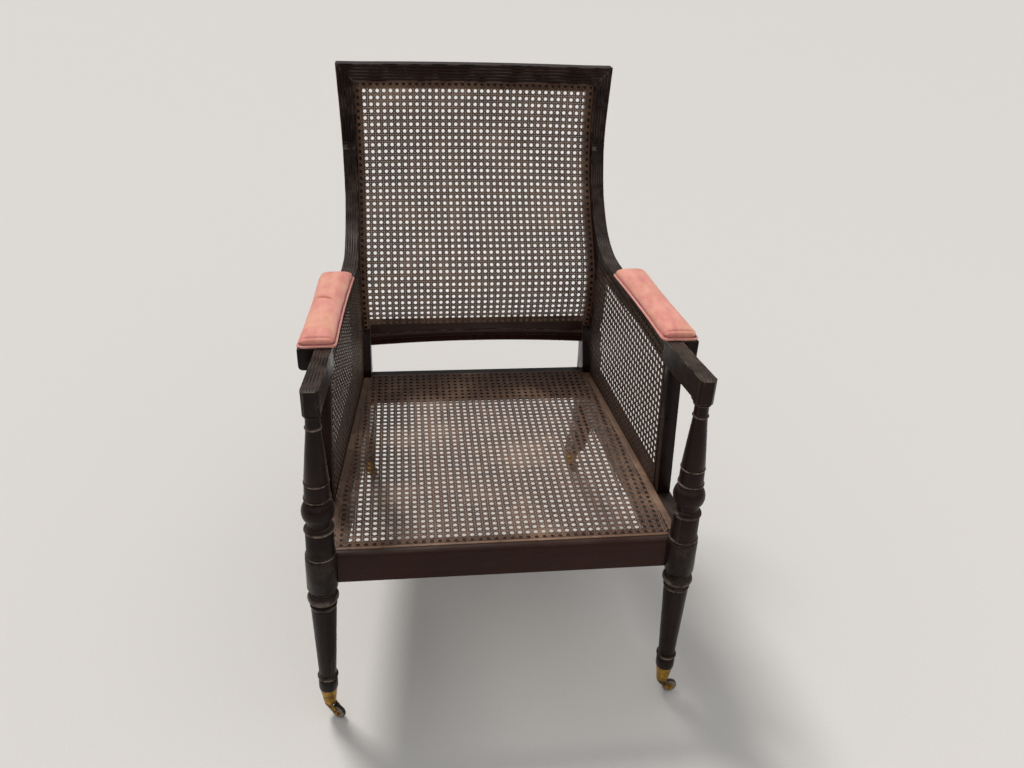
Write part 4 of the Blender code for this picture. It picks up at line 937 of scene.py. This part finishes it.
def weavePanel(columns, rows):
    # A flat weave round the origin: gaps stand at whole numbers of pitches, pairs of strands between them
    pitch, pair = weave["pitch"], weave["pair"]
    panel = bmesh.new()
    panel.verts.layers.float_vector.new("strand")
    (left, right), (low, high) = columns, rows
    quarter = Matrix.Rotation(math.radians(90), 4, "Z")
    for upright, (first, last), (start, end) in ((False, rows, columns), (True, columns, rows)):
        for phase in (-1, 1):
            rise = weave["rise"] * phase * (-1 if upright else 1)
            stations, places = [], []
            for k in range(start, end):
                middle = (k + 0.5) * pitch
                stations += [(middle - pair, -rise), (middle + pair, rise)]
            for k in range(first, last):
                across = (k + 0.5) * pitch + phase * pair
                places.append(Matrix.Translation((across, 0, 0)) @ quarter if upright
                              else Matrix.Translation((0, across, 0)))
            addStrands(panel, stations, places)
    tall = high - low
    for way in (1, -1):
        # The lines start on the lower edge, or on the upper one where they fall
        stations = [(pitch * math.sqrt(2) * k / 2, weave["diagonalRise"] * (1 if k % 2 else -1) * way)
                    for k in range(2 * tall + 1)]
        turn = Matrix.Rotation(math.radians(45 * way), 4, "Z")
        edge = low if way > 0 else high
        addStrands(panel, stations, [Matrix.Translation(((k + 0.5) * pitch, edge * pitch, 0)) @ turn
                                     for k in range(left - tall, right)])
    return panel


def trimStrands(shape, planes):
    # Cuts a flat panel along straight lines, each a point and the way out, and closes the ends
    for (x, y), (nx, ny) in planes:
        bmesh.ops.bisect_plane(shape, geom=allOf(shape), dist=merging, plane_co=(x, y, 0),
                               plane_no=(nx, ny, 0), clear_outer=True)
    bmesh.ops.edgeloop_fill(shape, edges=rimOf(shape))


def caneBack():
    line = backLine()
    lengths = [0.0]
    for a, b in zip(line, line[1:]):
        lengths.append(lengths[-1] + (b - a).length)
    rows = round(lengths[-1] / weave["pitch"])
    stretch = lengths[-1] / (rows * weave["pitch"])
    shape = weavePanel(weave["backColumns"], (-1, rows + 1))
    reach = weave["reach"]
    half = back["halfHoles"] + reach
    trimStrands(shape, [((half, 0), (1, 0)), ((-half, 0), (-1, 0)), ((0, -reach), (0, -1)),
                        ((0, rows * weave["pitch"] + reach), (0, 1))])
    for vert in shape.verts:
        bendToBack(vert, line, lengths, stretch)
    addPiece("caneBack", shape, looks["cane"], stands=["back_cane"], smooth=weave["smooth"])
    return line, lengths


def bendToBack(vert, line, lengths, stretch=1.0):
    # From the flat panel to the curve of the back: y is the way down from the top row of holes
    down = vert.co.y * stretch
    for k in range(len(line) - 1):
        if down <= lengths[k + 1] or k == len(line) - 2:
            break
    run = (line[k + 1] - line[k]).normalized()
    point = line[k] + run * (down - lengths[k])
    point = point + Vector((run.y, -run.x)) * (vert.co.z + weave["off"])
    share = (point.y - back["low"]) / (back["top"] - back["low"])
    fade = min(1, max(0, (share - back["bowFrom"]) / (back["bowFull"] - back["bowFrom"])))
    vert.co = (vert.co.x, point.x + back["bow"] * fade ** 2 * (3 - 2 * fade) * bowAt(vert.co.x), point.y)


def caneSeat():
    front, rear = legLine + seat["holesFront"], legLine + seat["holesRear"]
    rows = round((rear - front) / weave["pitch"])
    stretch = (rear - front) / (rows * weave["pitch"])
    shape = weavePanel(weave["seatColumns"], (-1, rows + 1))
    for vert in shape.verts:
        vert.co.y = front + vert.co.y * stretch
        vert.co.z += seat["top"] + seat["fit"] + seat["cane"] / 2
    out = Vector((1, splayed(0, legLine + seat["holesRear"] - 1))).normalized()
    reach = weave["reach"]
    edge = seat["halfRear"] + reach
    trimStrands(shape, [((0, front - reach), (0, -1)), ((0, rear + reach), (0, 1)),
                        ((edge, rear), (out.x, out.y)), ((-edge, rear), (-out.x, out.y))])
    addPiece("caneSeat", shape, looks["cane"], stands=["seat_cane"], smooth=weave["smooth"])


def caneSide(side):
    # The strands run up behind the lip of the arm and into the stile and the post
    front, rear = legLine + sideCane["front"], legLine + sideCane["rear"]
    columns = round((rear - front) / weave["pitch"])
    low = seat["top"] + seat["fit"]
    tall = round((lipLevel(front) - low) / weave["pitch"])
    lead = (weave["pitch"] - weave["width"]) / 2 - weave["pair"]
    shape = weavePanel((0, columns + 1), (0, tall + 1))
    fall = Vector((lipLevel(front) - lipLevel(rear), rear - front)).normalized()
    trimStrands(shape, [((0, lead), (0, -1)), ((lead, 0), (-1, 0)), ((lead + rear - front, 0), (1, 0)),
                        ((lead, lead + lipLevel(front) - low), (fall.x, fall.y))])
    for vert in shape.verts:
        y, z, out = front + vert.co.x - lead, low + vert.co.y - lead, vert.co.z
        vert.co = (mirrored(side, sideCaneX(y, z) + out), y, z)
    addPiece(f"caneSide_{side}", faceOut(shape), looks["shadedCane"], stands=[f"side_cane_{side}"],
             smooth=weave["smooth"])


def ribbon(start, end, across, width, thick, steps=24):
    # A straight flat strip with eased upper edges; the strand attribute runs along it
    up = Vector((0, 0, thick))
    side = across * width / 2
    rings = []
    for k in range(steps + 1):
        point = start.lerp(end, k / steps)
        corners = [point - side, point + side, point + side + up, point - side + up]
        rings.append(easedCorners(corners, (0, 0, thick * 0.8, thick * 0.8), 2))
    shape = sweep(rings)
    layer = shape.verts.layers.float_vector.new("strand")
    run = (end - start).normalized()
    tone = tones.random()
    for vert in shape.verts:
        vert[layer] = ((vert.co - start).dot(run), (vert.co - start).dot(across) / width * 2, tone)
    return shape


border = {
    "seatWidth": 0.0120, "inset": 0.0032, "overhang": (0.004, 0.002), "endWidth": 0.0052, "thick": 0.0014,
    "frontY": 0.0138, "frontHalf": 0.262, "binderFrom": 0.0020, "binderWidth": 0.0033, "binderThick": 0.0011,
    "binderGap": 0.0002, "binderSteps": 72, "level": 0.0006,
}


def seatBorders():
    level = seat["top"] + seat["fit"]
    front, rear = legLine + seat["holesFront"], legLine + seat["holesRear"]
    out = seat["halfRear"] + border["inset"] + border["seatWidth"] / 2
    ends = (front - border["overhang"][0], rear - border["overhang"][1])
    for side in bothSides:
        start, end = (Vector((mirrored(side, splayed(out, y)), y, level)) for y in ends)
        shape = ribbon(start, end, Vector((1, 0, 0)), border["seatWidth"], border["thick"])
        addPiece(f"seatBorder_{side}", shape, looks["border"])
    behind = rear + border["inset"] + border["endWidth"] / 2
    for name, y, half in (("seatBorderFront", legLine + border["frontY"], border["frontHalf"]),
                          ("seatBorderRear", behind, seat["halfRear"])):
        start, end = (Vector((x, y, level)) for x in (-half, half))
        shape = ribbon(start, end, Vector((0, 1, 0)), border["endWidth"], border["thick"])
        addPiece(name, shape, looks["border"])


def backBinders(line, lengths):
    # Strips laid flat outside the rows of holes and then bent with the back
    off = border["binderFrom"] + border["binderWidth"] / 2
    edge, low, high = back["halfHoles"] + off, -off, lengths[-1] + off
    short = edge - border["binderWidth"] / 2 - border["binderGap"]
    sideways, downwards = Vector((1, 0, 0)), Vector((0, 1, 0))
    strips = {"Left": (-edge, low, -edge, high, sideways), "Right": (edge, low, edge, high, sideways),
              "Top": (-short, low, short, low, downwards), "Bottom": (-short, high, short, high, downwards)}
    for name, (x0, y0, x1, y1, across) in strips.items():
        start, end = (Vector((x, y, border["level"])) for x, y in ((x0, y0), (x1, y1)))
        shape = ribbon(start, end, across, border["binderWidth"], border["binderThick"],
                       border["binderSteps"])
        for vert in shape.verts:
            bendToBack(vert, line, lengths)
        addPiece(f"binder{name}", faceOut(shape), looks["binder"])


backCurve, backLengths = caneBack()
print("cane back woven")
caneSeat()
print("cane seat woven")
for side in bothSides:
    caneSide(side)
seatBorders()
backBinders(backCurve, backLengths)
print("cane sides and borders made")

# Arm pads
def padOutline(side, inset, steps):
    # Round the pad in plan; its long sides draw in a little between the corners
    points = []
    front, rear = legLine + pad["front"] + inset, legLine + pad["rear"] - inset
    radius = pad["corner"] - min(inset, pad["corner"] / 2)
    for way, y, start in ((-1, rear, 90), (-1, front, 180), (1, front, 270), (1, rear, 0)):
        sides = (pad["outFront"], pad["outRear"]) if way > 0 else (pad["inFront"], pad["inRear"])
        inward = -1 if y == rear else 1
        for k in range(6):
            angle = math.radians(start + k * 18)
            cx = padEdge(y, *sides) - way * (radius + inset)
            points.append((cx + radius * math.cos(angle), y + inward * radius + radius * math.sin(angle)))
        if (way, y) in ((-1, rear), (1, front)):
            end = front + radius if way < 0 else rear - radius
            begin = points[-1][1]
            for k in range(1, steps):
                here = begin + (end - begin) * k / steps
                draw = pad["draw"] * math.sin(math.pi * k / steps)
                points.append((padEdge(here, *sides) - way * (inset + draw), here))
    return [(mirrored(side, x), y) for x, y in points]


padding = {
    "voxel": 0.0032, "pressure": 4.0, "cap": 0.0035, "frames": 16, "heldUnder": 1.6, "smoothing": 3,
    "softness": 0.6, "shoulder": 0.016, "hollows": 22, "hollowDepth": 0.0009,
    "seeds": {"left": (3, 7, 1), "right": (11, 2, 5)},
    # Inset and height of the rings from the foot of the pad to its crown, in piping widths
    "rings": ((2.6, 0.0), (2.4, 1.0), (2.0, 2.0), (1.5, 2.6), (1.2, 3.4), (1.5, 4.5), (2.8, 5.8),
              (4.8, 7.0), (7.4, 8.0), (10.2, 8.5)),
    # How far behind the front edge the fold lies, its width and its depth
    "fold": (0.0085, 0.0014, 0.0014),
    # The crease of the left pad: its middle, how it slants, its reach, width and depth, and its ridge
    "creaseMiddle": (-0.278, 0.291), "creaseSlant": -0.57, "creaseReach": 0.014, "creaseWidth": 0.0040,
    "creaseDepth": 0.0024, "ridgeBehind": 0.011, "ridgeHeight": 0.0011,
}
# Inset and height of the two cords in piping widths, their radius, sides and unevenness
# The seam cord is a dark line of painted shade between pad and piping
cords = {"piping": (1.05, 1.0, 0.92 * pad["piping"], 10, 0.12), "seamShade": (1.5, 2.0, 0.0010, 6, 0.2)}


def padPath(side, top, inset, height, steps=26):
    return [Vector((x, y, heightAt(top, y) + seat["fit"] + pad["piping"] * height))
            for x, y in padOutline(side, pad["piping"] * inset, steps)]


def finishedMesh(piece):
    graph = bpy.context.evaluated_depsgraph_get()
    mesh = bpy.data.meshes.new_from_object(piece.evaluated_get(graph))
    mesh.name = piece.name
    return mesh


def inflate(piece, top):
    # Voxel remesh, then cloth under pressure, with the foot of the pad held on the arm
    remesh = piece.modifiers.new("remesh", "REMESH")
    remesh.mode = "VOXEL"
    remesh.voxel_size = padding["voxel"]
    dense = finishedMesh(piece)
    piece.modifiers.clear()
    piece.data = dense
    held = piece.vertex_groups.new(name="held")
    above = pad["piping"] * padding["heldUnder"]
    low = [vert.index for vert in dense.vertices if vert.co.z < heightAt(top, vert.co.y) + above]
    held.add(low, 1.0, "REPLACE")
    cloth = piece.modifiers.new("filling", "CLOTH")
    settings = cloth.settings
    settings.use_pressure = True
    settings.uniform_pressure_force = padding["pressure"]
    settings.effector_weights.gravity = 0
    settings.vertex_group_mass = "held"
    cloth.point_cache.frame_end = padding["frames"]
    scene = bpy.context.scene
    for step in range(1, padding["frames"] + 1):
        scene.frame_set(step)
    puffed = finishedMesh(piece)
    for old, new in zip(dense.vertices, puffed.vertices):
        move = new.co - old.co
        if move.length > padding["cap"]:
            move *= padding["cap"] / move.length
        old.co += move
    piece.modifiers.clear()
    piece.vertex_groups.clear()
    scene.frame_set(1)


def bell(away, width, power=2):
    return math.exp(-(away / width) ** power)


def creaseAt(place):
    # How deep the crease and how high the ridge behind it are, from 0 to 1
    middle = place.x - padding["creaseMiddle"][0]
    away = place.y - legLine - padding["creaseMiddle"][1] - padding["creaseSlant"] * middle
    near = bell(middle, padding["creaseReach"], 4)
    ridge = bell(away - padding["ridgeBehind"], padding["creaseWidth"])
    return bell(away, padding["creaseWidth"]) * near, ridge * near


def dressPad(piece, side, top):
    # Smoothing, one subdivision, then the fold behind the front piping, a crease and soft hollows
    shape = bmesh.new()
    shape.from_mesh(piece.data)
    for _ in range(padding["smoothing"]):
        bmesh.ops.smooth_vert(shape, verts=shape.verts, factor=0.5, use_axis_x=True, use_axis_y=True,
                              use_axis_z=True)
    bmesh.ops.subdivide_edges(shape, edges=shape.edges, cuts=1, use_grid_fill=True,
                              smooth=padding["softness"])
    shape.normal_update()
    # This layer holds where the painted shade of the crease goes
    creaseShade = shape.verts.layers.float.new("creaseShade")
    behind, width, depth = padding["fold"]
    moves = []
    for vert in shape.verts:
        share = min(1, max(0, (vert.co.z - heightAt(top, vert.co.y)) / padding["shoulder"]))
        down = bell(vert.co.y - legLine - pad["front"] - behind, width) * depth * share
        if side == "left":
            dent, ridge = creaseAt(vert.co)
            vert[creaseShade] = dent * share
            down += (dent * padding["creaseDepth"] - ridge * padding["ridgeHeight"]) * share
        unevenness = noise.noise(vert.co * padding["hollows"] + Vector(padding["seeds"][side]))
        moves.append((vert, vert.normal * (unevenness * padding["hollowDepth"] * share - down)))
    for vert, move in moves:
        vert.co += move
    shape.to_mesh(piece.data)
    shape.free()
    piece.data.shade_smooth()


def tube(path, radius, sides, wobble):
    # A closed tube: a ring of a few vertices is extruded round the path and bridged to its start
    turns = [math.tau * j / sides for j in range(sides)]
    rings = []
    count = len(path)
    for k, point in enumerate(path):
        along = path[(k + 1) % count] - path[k - 1]
        out = along.cross(Vector((0, 0, 1))).normalized()
        rise = out.cross(along).normalized()
        swell = radius * (1 + wobble * noise.noise(point * 160))
        rings.append([point + (out * math.cos(turn) + rise * math.sin(turn)) * swell for turn in turns])
    shape = bmesh.new()
    first = [shape.verts.new(point) for point in rings[0]]
    edges = [shape.edges.new((a, b)) for a, b in zip(first, first[1:] + first[:1])]
    for ring in rings[1:]:
        grown = bmesh.ops.extrude_edge_only(shape, edges=edges)
        edges = kindOf(bmesh.types.BMEdge, grown)
        for vert, point in zip(kindOf(bmesh.types.BMVert, grown), ring):
            vert.co = point
    bmesh.ops.bridge_loops(shape, edges=rimOf(shape))
    return faceOut(shape)


def makeCord(side, top, name, look, stands=()):
    inset, height, radius, sides, wobble = cords[name]
    shape = tube(padPath(side, top, inset, height, 40), radius, sides, wobble)
    addPiece(f"{name}_{side}", shape, look, stands=stands, smooth=60)


def makePad(side):
    top = armTopLine()
    shape = sweep([padPath(side, top, inset, height) for inset, height in padding["rings"]])
    piece = addPiece(f"pad_{side}", shape, looks["velvet"], stands=[f"arm_pad_{side}"],
                     smooth=60)
    inflate(piece, top)
    dressPad(piece, side, top)
    piece.data.materials.clear()
    piece.data.materials.append(looks["velvet"])
    makeCord(side, top, "piping", looks["piping"], [f"pad_piping_{side}"])
    # A dark cord of painted shade in the crevice between pad and piping
    makeCord(side, top, "seamShade", looks["seamShade"])


for side in bothSides:
    makePad(side)
print("pads made")

# Castors
castor = {
    "cupBottom": 0.0340, "cupRadius": 0.0148, "trail": 0.0155, "wheel": 0.0128, "steps": 40,
    # Radius and height round the wall of the cup, down the outside and up the inside
    "cup": ((0.0145, 0.0680), (0.0148, 0.0676), (0.0148, 0.0664), (0.0143, 0.0660), (0.0106, 0.0370),
            (0.0106, 0.0354), (0.0100, 0.0340), (0.0030, 0.0340), (0.0030, 0.0365), (0.0091, 0.0365),
            (0.0136, 0.0680)),
    "squareEase": 0.0008,
    # Radius and half width of the wheel, from the axle out to the tread
    "face": ((0.0021, 0.0044), (0.0044, 0.0044), (0.0050, 0.0038), (0.0056, 0.0030), (0.0088, 0.0030),
             (0.0098, 0.0036), (0.0116, 0.0036), (0.0125, 0.0028), (0.0128, 0.0018), (0.0128, 0.0008)),
    "treadDepth": 0.0006,
    "turns": {"front_left": -30.0, "front_right": 0.0, "rear_left": 62.0, "rear_right": 35.0},
}


def castorCentre(corner):
    side = corner.split("_")[1]
    if corner.startswith("front"):
        return Vector((mirrored(side, legAxis(castor["cupBottom"])), legLine, 0))
    return Vector((mirrored(side, back["footX"]), legLine + back["footY"], 0))


def makeCup(corner):
    # Round in front; behind it is square, from four steps of the spin, with its upright edges bevelled
    if corner.startswith("rear"):
        grow = back["footSize"] / 2 / castor["cupRadius"] * math.sqrt(2)
        shape = turned([(radius * grow, height) for radius, height in castor["cup"]], 4, True)
        eighth = Matrix.Rotation(math.radians(45), 3, "Z")
        bmesh.ops.rotate(shape, verts=shape.verts, cent=(0, 0, 0), matrix=eighth)
        upright = []
        for edge in shape.edges:
            low, high = (vert.co for vert in edge.verts)
            if abs(high.z - low.z) > 0.01 and low.xy.length > 0.012:
                upright.append(edge)
        bmesh.ops.bevel(shape, geom=upright, offset=castor["squareEase"], segments=2, profile=0.5,
                        affect="EDGES", material=-1)
    else:
        shape = turned(castor["cup"], castor["steps"], True)
    bmesh.ops.translate(shape, verts=shape.verts, vec=castorCentre(corner))
    addPiece(f"cup_{corner}", shape, looks["brass"], stands=[f"castor_cup_{corner}"])


def makeWheel(corner):
    face, rim = list(castor["face"]), castor["wheel"]
    shape = turned(face + [(radius, -height) for radius, height in face[::-1]], castor["steps"], True)
    layer = shape.verts.layers.float.new("tread")
    for vert in shape.verts:
        vert[layer] = 1.0 if vert.co.xy.length > rim - castor["treadDepth"] else 0.0
    place = (Matrix.Translation(castorCentre(corner))
             @ Matrix.Rotation(math.radians(castor["turns"][corner]), 4, "Z")
             @ Matrix.Translation((castor["trail"], 0, rim)) @ Matrix.Rotation(math.radians(90), 4, "X"))
    bmesh.ops.transform(shape, matrix=place, verts=shape.verts)
    addPiece(f"roller_{corner}", shape, looks["wheel"], body=f"wheel_{corner}",
             stands=[f"castor_wheel_{corner}"])


for corner in castor["turns"]:
    makeCup(corner)
    makeWheel(corner)
    for part, look in (("horn", "horn"), ("axle", "brass")):
        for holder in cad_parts[f"castor_{part}_{corner}"].material_slots:
            holder.material = looks[look]
print("castors made")

# Floor, light and background
studio = {
    "floor": srgb(213, 208, 201), "speckle": srgb(208, 202, 194), "size": 40.0, "sun": 2.0, "spread": 14,
    "sunFrom": (-0.30, 0.50, 1.0), "low": (0.10, 0.105, 0.11, 1.0), "high": (0.68, 0.70, 0.74, 1.0),
    "lamp": 7, "lampSize": 2.4, "lampPlace": (0.8, -3.4, 1.9), "lampAim": (0, 0, 0.5),
}


def makeFloor():
    shape = bmesh.new()
    bmesh.ops.create_grid(shape, x_segments=2, y_segments=2, size=studio["size"])
    floor = newObject("floor", meshOf("floor", shape))
    made, tree, shader, place = newLook("floorPaint", Roughness=0.9, Specular_IOR_Level=0.2)
    speckle = noiseOf(tree, place, 420, 2, 0.5)
    colour = mix(tree, ramp(tree, speckle, 0.3, 0.7), studio["floor"], studio["speckle"])
    feed(tree, shader, Base_Color=colour)
    floor.data.materials.append(made)


def addLamp(name, kind, place, aim, **settings):
    data = bpy.data.lights.new(name, kind)
    for key, value in settings.items():
        setattr(data, key, value)
    lamp = newObject(name, data)
    lamp.location = place
    lamp.rotation_euler = (Vector(place) - Vector(aim)).to_track_quat("Z", "Y").to_euler()


def makeLight():
    # White to the camera, and for all other rays a soft sky that is brighter overhead
    world = bpy.data.worlds.new("studio")
    world.use_nodes = True
    tree = world.node_tree
    sky = tree.nodes["Background"]
    rays = addNode(tree, "ShaderNodeLightPath").outputs
    seen = calc(tree, "ADD", rays["Is Camera Ray"], rays["Is Transmission Ray"])
    way = addNode(tree, "ShaderNodeTexCoord").outputs["Generated"]
    glow = mix(tree, ramp(tree, splitOf(tree, way)["Z"], -0.1, 0.9), studio["low"], studio["high"])
    feed(tree, sky, Color=mix(tree, seen, glow, (1.0, 1.0, 1.0, 1.0)))
    bpy.context.scene.world = world
    addLamp("sun", "SUN", studio["sunFrom"], (0, 0, 0), energy=studio["sun"],
            angle=math.radians(studio["spread"]))
    addLamp("front", "AREA", studio["lampPlace"], studio["lampAim"], energy=studio["lamp"],
            size=studio["lampSize"])


makeFloor()
makeLight()
bpy.context.scene.view_settings.view_transform = "Standard"
print("floor and light made")
